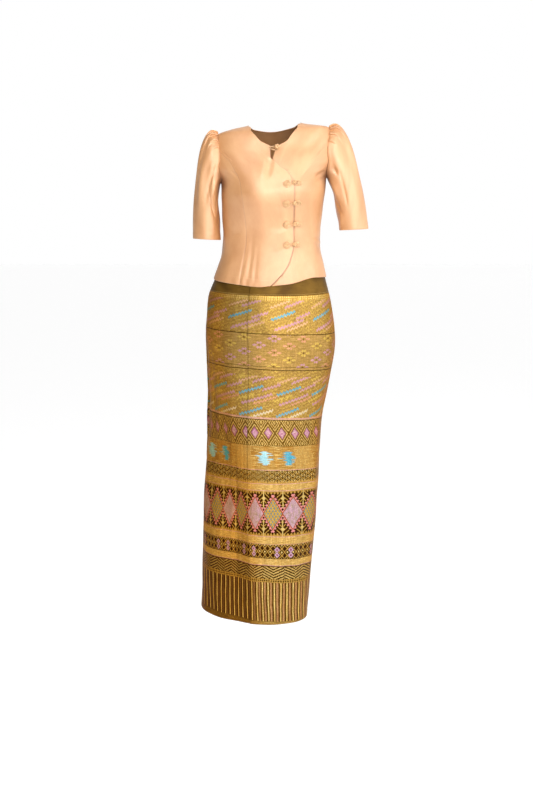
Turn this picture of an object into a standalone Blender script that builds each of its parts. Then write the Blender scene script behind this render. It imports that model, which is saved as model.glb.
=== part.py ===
"""A Thai two-piece outfit in the form it has when worn: a fitted blouse with puffed sleeves and knotted
frog fastenings, and a wrapped tube skirt with a plain waistband and a wide border.

Metres, +Z up, the front toward -Y, the wearer's right toward -X. The origin lies between the shoulders,
level with the base of the neck. Every cloth panel is laid out on one figure, by an angle around it
(0 is the front centre, a quarter turn is the wearer's left side) and a level down from the neck."""

import math

import bpy
import numpy as np

# Driving dimensions of the cloth and its fastenings
BLOUSE_WALL = 0.0012
SKIRT_WALL = 0.0013
SEAM_GAP = 0.0003
SLEEVE_GAP = 0.0009
LAYER_GAP = 0.0016
WRAP_GAP = 0.0009
FASTENING_GAP = 0.0006
LAP = BLOUSE_WALL + LAYER_GAP
WRAP_LAP = SKIRT_WALL + WRAP_GAP
HALF_TURN = math.pi
QUARTER = math.pi / 2

# The figure under the cloth, a row for each level. Turn is in degrees, roll is height gained for each
# metre toward the wearer's left, and rise is how much higher the back lies than the front.
# level, centre, half_width, front, back, turn, roll, rise
FIGURE = (
    (0.000, 0.001, 0.050, 0.010, 0.010, 0, 0.055, 0.000),
    (-0.005, 0.001, 0.065, 0.018, 0.018, 0, 0.055, 0.000),
    (-0.012, 0.000, 0.102, 0.034, 0.032, 0, 0.055, 0.000),
    (-0.022, -0.001, 0.139, 0.046, 0.047, 0, 0.055, 0.000),
    (-0.036, -0.001, 0.147, 0.055, 0.063, 0, 0.055, 0.000),
    (-0.065, -0.001, 0.152, 0.068, 0.085, 0, 0.055, 0.000),
    (-0.100, -0.001, 0.153, 0.088, 0.099, 0, 0.055, 0.000),
    (-0.146, -0.001, 0.134, 0.109, 0.104, 0, 0.053, 0.000),
    (-0.180, -0.002, 0.131, 0.118, 0.101, 0, 0.048, 0.000),
    (-0.220, -0.004, 0.127, 0.110, 0.092, 0, 0.042, 0.000),
    (-0.270, -0.005, 0.124, 0.096, 0.084, 0, 0.035, 0.000),
    (-0.320, -0.007, 0.126, 0.095, 0.090, 0, 0.028, 0.000),
    (-0.360, -0.009, 0.134, 0.099, 0.101, 0, 0.022, 0.004),
    (-0.400, -0.010, 0.144, 0.103, 0.112, 0, 0.010, 0.010),
    (-0.458, -0.011, 0.158, 0.107, 0.124, 0, -0.035, 0.015),
    (-0.548, -0.010, 0.168, 0.110, 0.132, 1, -0.045, 0.006),
    (-0.628, -0.014, 0.161, 0.112, 0.130, 2, -0.052, 0.001),
    (-0.739, -0.023, 0.150, 0.113, 0.124, 4, -0.060, 0.000),
    (-0.812, -0.026, 0.149, 0.114, 0.121, 5, -0.060, 0.000),
    (-0.913, -0.031, 0.149, 0.116, 0.119, 7, -0.060, 0.000),
    (-1.033, -0.038, 0.148, 0.118, 0.119, 10, -0.060, 0.000),
    (-1.123, -0.043, 0.146, 0.121, 0.120, 13, -0.075, 0.000),
    (-1.300, -0.051, 0.142, 0.125, 0.122, 18, -0.112, 0.000),
)

# How far each garment's outer face stands off the figure
# level, blouse, skirt
EASE = (
    (0.000, 0.0000, -0.0046),
    (-0.300, 0.0000, -0.0046),
    (-0.360, 0.0008, -0.0040),
    (-0.400, 0.0020, -0.0018),
    (-0.445, 0.0030, 0.0000),
    (-1.300, 0.0030, 0.0000),
)

# Fullness that the front darts give: level, height and width of the swell
DART_LEVEL, DART_REACH, DART_AT, DART_WIDTH, DART_RISE = -0.172, 0.048, 0.066, 0.036, 0.006

# Levels of the skirt's cuts
WAIST_TOP = -0.276
WAISTBAND_END = -0.430
BORDER_TOP = -0.7423
SKIRT_HEM = -1.275
WRAP_EDGE, WRAP_UNDER = math.radians(-20), math.radians(356)
WRAP_LIFT_FULL, WRAP_LIFT_END = math.radians(0), math.radians(35)

# The armhole is an ellipse around the side of the figure
ARMHOLE_TOP, ARMHOLE_END = -0.0220, -0.1460
ARMHOLE_FRONT, ARMHOLE_BACK = math.radians(28), math.radians(30)
PRINCESS_START = math.radians(74)

# Lines of the blouse as they lie on the front: distance across from the origin, level
NECKLINE_RIGHT = ((-0.0615, -0.009), (-0.058, -0.016), (-0.051, -0.030), (-0.033, -0.050), (-0.0125, -0.0615))
NECKLINE_LEFT = ((0.003, -0.064), (0.030, -0.0525), (0.050, -0.030), (0.058, -0.016), (0.0615, -0.009))
PRINCESS_RIGHT = (
    (-0.086, -0.404),
    (-0.078, -0.345),
    (-0.070, -0.290),
    (-0.0745, -0.221),
    (-0.084, -0.155),
    (-0.108, -0.100),
)
PRINCESS_LEFT = (
    (0.055, -0.399),
    (0.053, -0.300),
    (0.053, -0.220),
    (0.055, -0.165),
    (0.060, -0.146),
    (0.088, -0.112),
    (0.115, -0.082),
)
OVER_EDGE = (
    (-0.008, -0.4055),
    (0.020, -0.377),
    (0.035, -0.355),
    (0.045, -0.326),
    (0.0485, -0.300),
    (0.0485, -0.200),
    (0.0475, -0.156),
    (0.030, -0.127),
    (0.016, -0.119),
    (0.001, -0.109),
    (-0.008, -0.098),
    (-0.0135, -0.085),
)
UNDER_EDGE = (
    (-0.022, -0.408),
    (-0.021, -0.300),
    (-0.021, -0.200),
    (-0.019, -0.150),
    (-0.009, -0.115),
    (-0.004, -0.095),
    (0.001, -0.078),
)
HEM_RIGHT_SIDE = ((-0.121, -0.4005),)
HEM_RIGHT_CENTRE = ((-0.060, -0.4070), (-0.034, -0.4085))
HEM_LEFT_CENTRE = ((0.000, -0.4055), (0.037, -0.4025))
HEM_LEFT_SIDE = ((0.090, -0.3905), (0.115, -0.3910))
SIDE_HEM = -0.3945
BACK_HEM = -0.4020
NECK_POINT = -0.0050
BACK_NECK = ((0.060, -0.0085), (0.046, -0.0155), (0.000, -0.0215), (-0.046, -0.0155), (-0.060, -0.0085))
LIFT_START, LIFT_FULL = -0.072, -0.026

# Soft folds of the blouse: angle in degrees, level of the middle, half length, width in degrees, depth
BLOUSE_FOLDS = (
    (-16, -0.375, 0.045, 2.2, 0.0016),
    (-23, -0.365, 0.060, 2.4, 0.0018),
    (-31, -0.380, 0.040, 2.0, 0.0014),
    (82, -0.305, 0.022, 12.0, 0.0030),
    (-84, -0.300, 0.024, 12.0, 0.0022),
    (118, -0.300, 0.055, 7.0, 0.0020),
    (-118, -0.300, 0.055, 7.0, 0.0020),
)

# Sleeves: side (+1 is the wearer's left), cuff centre, cuff half width and half depth, lean of the arm
SLEEVES = (
    ("blouse_sleeve_left", 1, (0.2037, 0.004, -0.2680), 0.0365, 0.048, 0.15),
    ("blouse_sleeve_right", -1, (-0.1712, 0.002, -0.2925), 0.0350, 0.047, 0.02),
)
# The sleeve leaves the armhole and reaches the cuff along handles, at its top, middle and underside
PUFF_OUT = (0.046, 0.024, 0.014)
PUFF_UP = (0.040, -0.004, -0.008)
PUFF_FORWARD = 0.020
CUFF_HANDLE = (0.166, 0.090, 0.045)
CUFF_TILT = 0.05
PLEATS, PLEAT_DEPTH, PLEAT_SPREAD, PLEAT_REACH = 6, 0.0060, math.radians(66), 0.45
SLEEVE_AROUND, SLEEVE_ALONG = 44, 10

# Frog fastenings on the overlap: distance across and level of each ball
FROGS = ((0.0476, -0.157), (0.0492, -0.2055), (0.0492, -0.2560), (0.0488, -0.3055))
COIL_AWAY, COIL_RADIUS, COIL_HEIGHT = 0.0190, 0.0080, 0.0042
LOOP_AWAY, LOOP_RADIUS, LOOP_HEIGHT = 0.0130, 0.0060, 0.0034
BALL_RADIUS = 0.0048
NECK_BALL, NECK_BALL_RADIUS = (0.0095, -0.0715), 0.0062
NECK_LOOP, NECK_LOOP_LENGTH, NECK_LOOP_RADIUS = (-0.0085, -0.0685), 0.0090, 0.0021

SATIN, BROCADE, OLIVE = (0.84, 0.60, 0.33), (0.42, 0.30, 0.11), (0.16, 0.12, 0.035)


def through(rows, at):
    """The columns of a table read between its rows, by a smooth curve that doesn't overshoot them."""
    rows = np.array(sorted(rows), float)
    place, value = rows[:, 0], rows[:, 1:]
    step = np.diff(place)[:, None]
    slope = np.diff(value, axis=0) / step
    same_way = slope[:-1] * slope[1:] > 0
    safe = np.where(same_way, slope[:-1] + slope[1:], 1)
    tangent = np.vstack([slope[:1], np.where(same_way, 2 * slope[:-1] * slope[1:] / safe, 0), slope[-1:]])
    at = np.clip(at, place[0], place[-1])
    low = np.clip(np.searchsorted(place, at, side="right") - 1, 0, len(step) - 1)
    run = step[low]
    part = (at - place[low])[..., None] / run
    rest = 1 - part
    return (
        (1 + 2 * part) * rest**2 * value[low]
        + part * rest**2 * run * tangent[low]
        + part**2 * (3 - 2 * part) * value[low + 1]
        - part**2 * rest * run * tangent[low + 1]
    )


def eased(at, start, end):
    """0 before start, 1 after end, with no corner on the way."""
    part = np.clip((at - start) / (end - start), 0, 1)
    return part * part * (3 - 2 * part)


def figure(angle, level):
    """The point of the figure at this angle and level."""
    centre, half_width, front, back, turn, roll, rise = np.moveaxis(through(FIGURE, level), -1, 0)
    facing = np.cos(angle)
    across = half_width * np.sin(angle)
    up, aside = (level - DART_LEVEL) / DART_REACH, (np.abs(across) - DART_AT) / DART_WIDTH
    swell = np.exp(-(up**2) - aside**2)
    depth = np.where(facing > 0, front, back)
    along = -depth * facing - DART_RISE * swell * (facing > 0)
    turn = np.radians(turn)
    x = centre + across * np.cos(turn) - along * np.sin(turn)
    y = across * np.sin(turn) + along * np.cos(turn)
    return np.stack([x, y, level + roll * x + rise * (1 - facing) / 2], axis=-1)


def unit(vector):
    return vector / np.linalg.norm(vector, axis=-1, keepdims=True)


def standing_off(angle, level, offset):
    """The point at this distance out from the figure."""
    angle, level, offset = np.broadcast_arrays(*(np.asarray(each, float) for each in (angle, level, offset)))
    reach = 0.0005
    by_angle = figure(angle + reach, level) - figure(angle - reach, level)
    by_level = figure(angle, level + reach) - figure(angle, level - reach)
    return figure(angle, level) + offset[..., None] * unit(np.cross(by_angle, by_level))


def on_front(points):
    """Angles and levels of points given by their distance across and their level."""
    across, level = np.array(points, float).T
    centre, half_width = np.moveaxis(through(FIGURE, level), -1, 0)[:2]
    return np.stack([np.arcsin((across - centre) / half_width), level], axis=-1)


def on_back(points):
    return on_front(points) * (-1, 1) + (HALF_TURN, 0)


def curve(points, count):
    """Evenly spaced points along the smooth curve through these angles and levels."""
    points = np.array(points, float)
    ends = np.vstack([2 * points[0] - points[1], points, 2 * points[-1] - points[-2]])
    place = np.linspace(0, len(points) - 1, 60 * len(points))
    low = np.minimum(place.astype(int), len(points) - 2)
    part = (place - low)[:, None]
    before, first, second, after = (ends[low + k] for k in range(4))
    bend = 2 * before - 5 * first + 4 * second - after
    twist = 3 * (first - second) + after - before
    fine = first + 0.5 * part * (second - before + part * (bend + part * twist))
    steps = np.linalg.norm(np.diff(figure(*fine.T), axis=0), axis=1)
    run = np.concatenate([[0], np.cumsum(steps)])
    even = np.linspace(0, run[-1], count + 1)
    return np.stack([np.interp(even, run, fine[:, k]) for k in (0, 1)], axis=-1)


def joined(*curves):
    return np.vstack([curves[0]] + [each[1:] for each in curves[1:]])


def patch(left, right, bottom, top):
    """The angles and levels of a panel between its four edges, rows from bottom to top."""
    across = np.linspace(0, 1, len(bottom))[None, :, None]
    up = np.linspace(0, 1, len(left))[:, None, None]
    sides = (1 - across) * left[:, None] + across * right[:, None]
    ends = (1 - up) * bottom[None] + up * top[None]
    low = (1 - across) * left[0] + across * right[0]
    high = (1 - across) * left[-1] + across * right[-1]
    return sides + ends - (1 - up) * low - up * high


def armhole(side, around):
    """Angle and level on the armhole: around is 0 at the shoulder and a quarter turn at the front."""
    spread = np.where(np.sin(around) > 0, ARMHOLE_FRONT, ARMHOLE_BACK)
    level = (ARMHOLE_TOP + ARMHOLE_END) / 2 + (ARMHOLE_TOP - ARMHOLE_END) / 2 * np.cos(around)
    return np.stack([side * (QUARTER - spread * np.sin(around)), level], axis=-1)


def folds(angle, level):
    """How deep the soft folds press the blouse in here."""
    depth = 0
    for fold_angle, middle, half_length, width, fold_depth in BLOUSE_FOLDS:
        away = (angle - math.radians(fold_angle)) / math.radians(width)
        depth = depth + fold_depth * np.exp(-(away**2) - ((level - middle) / half_length) ** 2)
    return depth


def blouse_offset(angle, level, lifted):
    """The blouse's outer face. The overlapping front rises over the one that it covers."""
    offset = through(EASE, level)[..., 0] - folds(angle, level)
    if lifted:
        offset = offset + LAP * eased(figure(angle, level)[..., 0], LIFT_START, LIFT_FULL)
    return offset


def parted(points):
    """Each edge of a panel drawn back from the seam, by half of the gap between two panels."""
    back = 0.65 * SEAM_GAP
    points = points.copy()
    points[0] += back * unit(points[1] - points[0])
    points[-1] += back * unit(points[-2] - points[-1])
    points[:, 0] += back * unit(points[:, 1] - points[:, 0])
    points[:, -1] += back * unit(points[:, -2] - points[:, -1])
    return points


def material(name, colour, roughness):
    made = bpy.data.materials.new(name)
    made.use_nodes = True
    shader = made.node_tree.nodes["Principled BSDF"]
    shader.inputs["Base Color"].default_value = (*colour, 1)
    shader.inputs["Roughness"].default_value = roughness
    return made


def mesh_object(name, points, faces, finish):
    mesh = bpy.data.meshes.new(name)
    mesh.from_pydata([tuple(point) for point in points], [], faces)
    mesh.materials.append(finish)
    mesh.shade_smooth()
    made = bpy.data.objects.new(name, mesh)
    bpy.context.scene.collection.objects.link(made)
    return made


def cloth(name, outer, inner, finish, closed=False):
    """A wall of cloth between two grids of points. A closed grid joins its last column to its first."""
    rows, columns = outer.shape[:2]
    inside = rows * columns
    faces = []
    for row in range(rows - 1):
        for column in range(columns if closed else columns - 1):
            after = (column + 1) % columns
            near, far = row * columns + column, row * columns + after
            face = (near, far, far + columns, near + columns)
            faces.append(face)
            faces.append(tuple(inside + corner for corner in reversed(face)))
    around = list(range(columns))
    if closed:
        bottom = around + around[:1]
        top = [inside - columns + column for column in bottom]
        rims = (bottom, top[::-1])
    else:
        right = [row * columns + columns - 1 for row in range(rows)]
        top = [inside - columns + column for column in around]
        left = [row * columns for row in range(rows)]
        rims = (around + right[1:] + top[::-1][1:] + left[::-1][1:],)
    for rim in rims:
        for near, far in zip(rim, rim[1:]):
            faces.append((far, near, inside + near, inside + far))
    points = np.vstack([outer.reshape(-1, 3), inner.reshape(-1, 3)])
    return mesh_object(name, points, faces, finish)


def blouse_panel(name, edges, finish, lifted=False):
    angle, level = np.moveaxis(patch(*edges), -1, 0)
    offset = blouse_offset(angle, level, lifted)
    outer, inner = (standing_off(angle, level, offset - depth) for depth in (0, BLOUSE_WALL))
    return cloth(name, parted(outer), parted(inner), finish)


def front_panels(finish):
    """Two fronts, each a centre panel and a side panel that meet at a princess seam."""
    seam_rows, armhole_rows = 20, 5
    for side, princess, hem_side in ((-1, PRINCESS_RIGHT, HEM_RIGHT_SIDE), (1, PRINCESS_LEFT, HEM_LEFT_SIDE)):
        side_hem = [(side * QUARTER, SIDE_HEM)]
        start = armhole(side, PRINCESS_START)
        seam = curve(np.vstack([on_front(princess), start]), seam_rows)
        upper = armhole(side, np.linspace(PRINCESS_START, 0, armhole_rows + 1))
        side_seam = curve([(side * QUARTER, SIDE_HEM), (side * QUARTER, ARMHOLE_END)], seam_rows)
        shoulder = curve([(side * QUARTER, ARMHOLE_TOP), (side * QUARTER, NECK_POINT)], 4)
        columns = 9 if side < 0 else 11
        lower = armhole(side, np.linspace(HALF_TURN, PRINCESS_START, columns + 1))
        if side < 0:
            hem = curve(np.vstack([side_hem, on_front(hem_side), seam[:1]]), columns)
            blouse_panel("blouse_front_right_side", (side_seam, seam, hem, lower), finish)
            neck = curve(np.vstack([shoulder[-1:], on_front(NECKLINE_RIGHT)]), 9)
            opening = curve(np.vstack([on_front(OVER_EDGE), neck[-1:]]), seam_rows + armhole_rows)
            hem = curve(np.vstack([seam[:1], on_front(HEM_RIGHT_CENTRE), opening[:1]]), 13)
            edges = (joined(seam, upper), opening, hem, joined(shoulder, neck))
            blouse_panel("blouse_front_right_centre", edges, finish, lifted=True)
        else:
            hem = curve(np.vstack([seam[:1], on_front(hem_side), side_hem]), columns)
            blouse_panel("blouse_front_left_side", (seam, side_seam, hem, lower[::-1]), finish)
            neck = curve(np.vstack([on_front(NECKLINE_LEFT), shoulder[-1:]]), 9)
            lap = curve(np.vstack([on_front(UNDER_EDGE), neck[:1]]), seam_rows + armhole_rows)
            hem = curve(np.vstack([lap[:1], on_front(HEM_LEFT_CENTRE), seam[:1]]), 13)
            edges = (lap, joined(seam, upper), hem, joined(neck, shoulder[::-1]))
            blouse_panel("blouse_front_left_centre", edges, finish)


def back_panel(finish):
    """One back panel from side seam to side seam, angles from a quarter to three quarters of a turn."""
    far = 3 * QUARTER
    left = joined(
        curve([(QUARTER, SIDE_HEM), (QUARTER, ARMHOLE_END)], 14),
        armhole(1, np.linspace(HALF_TURN, 2 * HALF_TURN, 10)),
    )
    right = left * (-1, 1) + (2 * HALF_TURN, 0)
    hem = curve([(QUARTER, SIDE_HEM), (HALF_TURN, BACK_HEM), (far, SIDE_HEM)], 22)
    shoulder = curve([(QUARTER, ARMHOLE_TOP), (QUARTER, NECK_POINT)], 4)
    neck = curve(np.vstack([shoulder[-1:], on_back(BACK_NECK), [(far, NECK_POINT)]]), 14)
    top = joined(shoulder, neck, shoulder[::-1] * (-1, 1) + (2 * HALF_TURN, 0))
    blouse_panel("blouse_back", (left, right, hem, top), finish)


def between(top, middle, under, around):
    """A size that goes from its value at the sleeve's top, through the middle, to the underside."""
    lean = np.cos(around)
    return middle + (top - under) / 2 * lean + ((top + under) / 2 - middle) * lean**2


def sleeve_point(side, cuff, half_width, half_depth, lean, around, along):
    """A point of the sleeve, with along 0 at the armhole and 1 at the cuff."""
    angle, level = np.moveaxis(armhole(side, around), -1, 0)
    start = figure(angle, level)
    forward = -PUFF_FORWARD * np.sin(around)
    leave = np.stack([side * between(*PUFF_OUT, around), forward, between(*PUFF_UP, around)], axis=-1)
    start = start + SLEEVE_GAP * unit(leave)
    out = half_width * np.cos(around)
    end = np.stack([side * out, -half_depth * np.sin(around), CUFF_TILT * out], axis=-1) + cuff
    handle = between(*CUFF_HANDLE, around)
    arrive = np.stack([-side * lean * handle, 0 * handle, handle], axis=-1)
    along, rest = along[..., None], 1 - along[..., None]
    return (
        rest**3 * start
        + 3 * rest**2 * along * (start + leave)
        + 3 * rest * along**2 * (end + arrive)
        + along**3 * end
    )


def pleats(around, along):
    """Knife pleats at the sleeve head, turned away from the shoulder seam and fading down the sleeve."""
    away = (around + HALF_TURN) % (2 * HALF_TURN) - HALF_TURN
    place = np.abs(away) / PLEAT_SPREAD * PLEATS / 2
    step = place % 1
    ridge = np.where(step < 0.75, step / 0.75, (1 - step) / 0.25)
    near = 1 - eased(np.abs(away), 0.75 * PLEAT_SPREAD, PLEAT_SPREAD)
    return PLEAT_DEPTH * (ridge - 0.5) * near * eased(along, 0, 0.04) * (1 - eased(along, 0.1, PLEAT_REACH))


def sleeve(name, side, cuff, half_width, half_depth, lean, finish):
    """A puffed sleeve from the armhole to an open cuff. Its columns gather toward the pleated head."""
    even = np.linspace(-HALF_TURN, HALF_TURN, SLEEVE_AROUND, endpoint=False)
    around = even - 0.45 * np.sin(even)
    along = np.linspace(0, 1, SLEEVE_ALONG + 1) ** 1.25
    around, along = np.meshgrid(around[::side], along)
    shape = (side, cuff, half_width, half_depth, lean)
    reach = 0.002
    by_around = sleeve_point(*shape, around + reach, along) - sleeve_point(*shape, around - reach, along)
    inside = np.clip(along, reach, 1 - reach)
    by_along = sleeve_point(*shape, around, inside + reach) - sleeve_point(*shape, around, inside - reach)
    out = side * unit(np.cross(by_around, by_along))
    outer = sleeve_point(*shape, around, along) + pleats(around, along)[..., None] * out
    return cloth(name, outer, outer - BLOUSE_WALL * out, finish, closed=True)


def skirt_strip(name, top, bottom, rows, finish):
    """One length of cloth wrapped round the figure, its outer end lapped over its inner end."""
    angle = np.linspace(WRAP_EDGE, WRAP_UNDER, 48)
    angle, level = np.meshgrid(angle, np.linspace(bottom, top, rows + 1))
    offset = through(EASE, level)[..., 1] + WRAP_LAP * (1 - eased(angle, WRAP_LIFT_FULL, WRAP_LIFT_END))
    outer, inner = (standing_off(angle, level, offset - depth) for depth in (0, SKIRT_WALL))
    return cloth(name, parted(outer), parted(inner), finish)


def spot_on(across, level, offset):
    """The point of the blouse's face here, moved out by this distance."""
    angle, level = np.moveaxis(on_front(np.stack([across, level], axis=-1).reshape(-1, 2)), -1, 0)
    ease = through(EASE, level)[..., 0]
    return standing_off(angle, level, ease + np.ravel(offset))


def dome(name, centre, half_length, radius, height, base, finish):
    """A low rounded button that follows the cloth: rings of points from its foot to its crown."""
    segments, rings = 14, 4
    turn = np.linspace(0, 2 * HALF_TURN, segments, endpoint=False)
    stretch = np.clip((half_length - radius) * np.sign(np.round(np.cos(turn), 6)), -half_length, half_length)
    size = np.cos(np.linspace(0, 0.92 * QUARTER, rings))
    rise = height * np.sin(np.linspace(0, 0.92 * QUARTER, rings))
    across = centre[0] + size[:, None] * radius * np.cos(turn) + stretch
    level = centre[1] + size[:, None] * radius * np.sin(turn)
    points = spot_on(across, level, base + np.repeat(rise, segments)).reshape(rings * segments, 3)
    feet = spot_on(np.array([centre[0]]), np.array([centre[1]]), np.array([base]))
    crown = spot_on(np.array([centre[0]]), np.array([centre[1]]), np.array([base + height]))
    points = np.vstack([points, feet, crown])
    foot, top = rings * segments, rings * segments + 1
    faces = []
    for column in range(segments):
        after = (column + 1) % segments
        faces.append((foot, after, column))
        last = (rings - 1) * segments
        faces.append((top, last + column, last + after))
        for ring in range(rings - 1):
            low, high = ring * segments, (ring + 1) * segments
            faces.append((low + column, low + after, high + after, high + column))
    return mesh_object(name, points, faces, finish)


def ball(name, centre, radius, base, finish):
    """A knotted ball that rests on the cloth."""
    bpy.ops.mesh.primitive_uv_sphere_add(segments=12, ring_count=7, radius=radius)
    made = bpy.context.object
    made.name = name
    made.data.materials.append(finish)
    made.data.shade_smooth()
    made.location = spot_on(np.array([centre[0]]), np.array([centre[1]]), np.array([base + radius]))[0]
    return made


def fastenings(finish):
    """Four frogs down the overlap and one at the neck, each fastened."""
    above = LAP + FASTENING_GAP
    for number, (across, level) in enumerate(FROGS, start=2):
        coil, loop = (across - COIL_AWAY, level), (across + LOOP_AWAY, level)
        dome(f"frog_{number}_coil", coil, COIL_RADIUS, COIL_RADIUS, COIL_HEIGHT, above, finish)
        dome(f"frog_{number}_loop", loop, LOOP_RADIUS, LOOP_RADIUS, LOOP_HEIGHT, FASTENING_GAP, finish)
        ball(f"frog_{number}_ball", (across, level), BALL_RADIUS, above, finish)
    dome("frog_1_loop", NECK_LOOP, NECK_LOOP_LENGTH, NECK_LOOP_RADIUS, NECK_LOOP_RADIUS, above, finish)
    ball("frog_1_ball", NECK_BALL, NECK_BALL_RADIUS, FASTENING_GAP, finish)


def build():
    for old in list(bpy.data.objects):
        bpy.data.objects.remove(old)
    satin = material("satin", SATIN, 0.35)
    brocade = material("brocade", BROCADE, 0.6)
    olive = material("waistband", OLIVE, 0.6)
    front_panels(satin)
    back_panel(satin)
    for row in SLEEVES:
        sleeve(*row, satin)
    fastenings(satin)
    skirt_strip("skirt_waistband", WAIST_TOP, WAISTBAND_END, 8, olive)
    skirt_strip("skirt_body", WAISTBAND_END, BORDER_TOP, 7, brocade)
    skirt_strip("skirt_border", BORDER_TOP, SKIRT_HEM, 6, brocade)


build()
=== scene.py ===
"""The looks of a Thai two-piece outfit in the form it has when worn: thin cloth with seams, folds and
pleats, corded frogs, satin and woven brocade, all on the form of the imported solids.

Metres, +Z up, the front toward -Y. Every panel is laid out on one figure by an angle around it (0 is the
front centre, a quarter turn is the wearer's left side) and a level down from the neck. Patterns are in
millimetres of cloth."""

import math
from functools import partial, partialmethod

import bpy
import mathutils
import numpy as np
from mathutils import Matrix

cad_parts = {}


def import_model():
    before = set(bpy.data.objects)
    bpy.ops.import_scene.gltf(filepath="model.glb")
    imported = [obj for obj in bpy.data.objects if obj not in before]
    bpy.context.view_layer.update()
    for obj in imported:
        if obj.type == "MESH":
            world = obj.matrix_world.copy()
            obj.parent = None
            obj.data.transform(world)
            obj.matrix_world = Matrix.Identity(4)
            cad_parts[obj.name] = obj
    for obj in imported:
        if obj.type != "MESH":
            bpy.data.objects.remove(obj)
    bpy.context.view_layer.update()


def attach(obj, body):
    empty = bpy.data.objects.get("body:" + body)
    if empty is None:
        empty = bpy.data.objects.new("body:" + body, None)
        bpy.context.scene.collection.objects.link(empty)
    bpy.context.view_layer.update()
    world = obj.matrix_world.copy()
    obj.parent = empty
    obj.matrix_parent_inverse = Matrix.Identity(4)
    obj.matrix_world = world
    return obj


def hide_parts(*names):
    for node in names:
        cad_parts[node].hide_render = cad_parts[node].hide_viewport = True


HALF_TURN = math.pi
QUARTER = math.pi / 2


def metres(*rows, plain=()):
    """A table whose rows are written in millimetres, in metres. Plain columns are angles or shares."""
    return [tuple(value if at in plain else value / 1000 for at, value in enumerate(row)) for row in rows]


# Thickness of the cloth, and how far an upper layer's face lies over the face under it
BLOUSE_CLOTH, SKIRT_CLOTH = 0.0009, 0.0010
LAP, WRAP_LAP = 0.0018, 0.0020

# The figure under the cloth: level, centre, half width, front, back, turn in degrees, roll (height gained for
# each metre toward the wearer's left), and rise (how much higher the back lies than the front)
FIGURE = metres(
    (0, 1, 50, 10, 10, 0, 55, 0), (-5, 1, 65, 18, 18, 0, 55, 0), (-12, 0, 102, 34, 32, 0, 55, 0),
    (-22, -1, 139, 46, 47, 0, 55, 0), (-36, -1, 147, 55, 63, 0, 55, 0), (-65, -1, 152, 68, 85, 0, 55, 0),
    (-100, -1, 153, 88, 99, 0, 55, 0), (-146, -1, 134, 109, 104, 0, 53, 0),
    (-180, -2, 131, 118, 101, 0, 48, 0), (-220, -4, 127, 110, 92, 0, 42, 0),
    (-270, -5, 124, 96, 84, 0, 35, 0), (-320, -7, 126, 95, 90, 0, 28, 0),
    (-360, -9, 134, 99, 101, 0, 22, 4), (-400, -10, 144, 103, 112, 0, 10, 10),
    (-458, -11, 158, 107, 124, 0, -35, 15), (-548, -10, 168, 110, 132, 1, -45, 6),
    (-628, -14, 161, 112, 130, 2, -52, 1), (-739, -23, 150, 113, 124, 4, -60, 0),
    (-812, -26, 149, 114, 121, 5, -60, 0), (-913, -31, 149, 116, 119, 7, -60, 0),
    (-1033, -38, 148, 118, 119, 10, -60, 0), (-1123, -43, 146, 121, 120, 13, -75, 0),
    (-1300, -51, 142, 125, 122, 18, -112, 0),
    plain=(5,),
)

# How far each garment's outer face stands off the figure: level, blouse, skirt
EASE = metres((0, 0, -4.6), (-300, 0, -4.6), (-360, 0.8, -4), (-400, 2, -1.8), (-445, 3, 0), (-1300, 3, 0))

# Fullness that the front darts give: its level, half height, place across, half width and height
DART_LEVEL, DART_REACH, DART_AT, DART_WIDTH, DART_RISE = -0.172, 0.048, 0.066, 0.036, 0.006

# The skirt: levels of its cuts, where the cloth starts and ends around the figure, and between which angles
# its outer end comes down onto the figure
WAIST_TOP, WAISTBAND_END, BORDER_TOP, SKIRT_HEM = -0.276, -0.430, -0.7423, -1.275
WRAP_EDGE, WRAP_UNDER = math.radians(-20), math.radians(356)
WRAP_LIFT_FULL, WRAP_LIFT_END = 0, math.radians(35)

# The armhole is an ellipse around the side of the figure, and a princess seam starts on it
ARMHOLE_TOP, ARMHOLE_END = -0.0220, -0.1460
ARMHOLE_FRONT, ARMHOLE_BACK = math.radians(28), math.radians(30)
PRINCESS_START = math.radians(74)

# Lines of the blouse as they lie on the front, from the hem up or from the side in: distance across, level
NECKLINE_RIGHT = metres((-61.5, -9), (-58, -16), (-51, -30), (-33, -50), (-9, -62.5))
NECKLINE_LEFT = metres((61.5, -9), (58, -16), (50, -30), (30, -52.5), (3, -64))
PRINCESS_RIGHT = metres((-86, -404), (-78, -345), (-70, -290), (-74.5, -221), (-84, -155), (-108, -100))
PRINCESS_LEFT = metres(
    (55, -399), (53, -300), (53, -220), (55, -165), (60, -146), (88, -112), (115, -82),
)
OVER_EDGE = metres(
    (-8, -405.5), (20, -377), (35, -355), (45, -326), (48.5, -300), (48.5, -200), (47.5, -156),
    (30, -127), (16, -119), (1, -109), (-6, -98), (-9.2, -85),
)
UNDER_EDGE = metres((-22, -408), (-21, -300), (-21, -200), (-19, -150), (-9, -115), (-4, -95), (1, -78))
HEM_RIGHT_SIDE, HEM_RIGHT_CENTRE = metres((-121, -400.5)), metres((-60, -407), (-34, -408.5))
HEM_LEFT_SIDE, HEM_LEFT_CENTRE = metres((115, -391), (90, -390.5)), metres((37, -402.5), (0, -405.5))
BACK_NECK = metres((60, -8.5), (46, -15.5), (0, -21.5), (-46, -15.5), (-60, -8.5))
SIDE_HEM, BACK_HEM, NECK_POINT = -0.3945, -0.4020, -0.0050

# The distances across between which the right front rises over the left one
LIFT_START, LIFT_FULL = -0.072, -0.026

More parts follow.
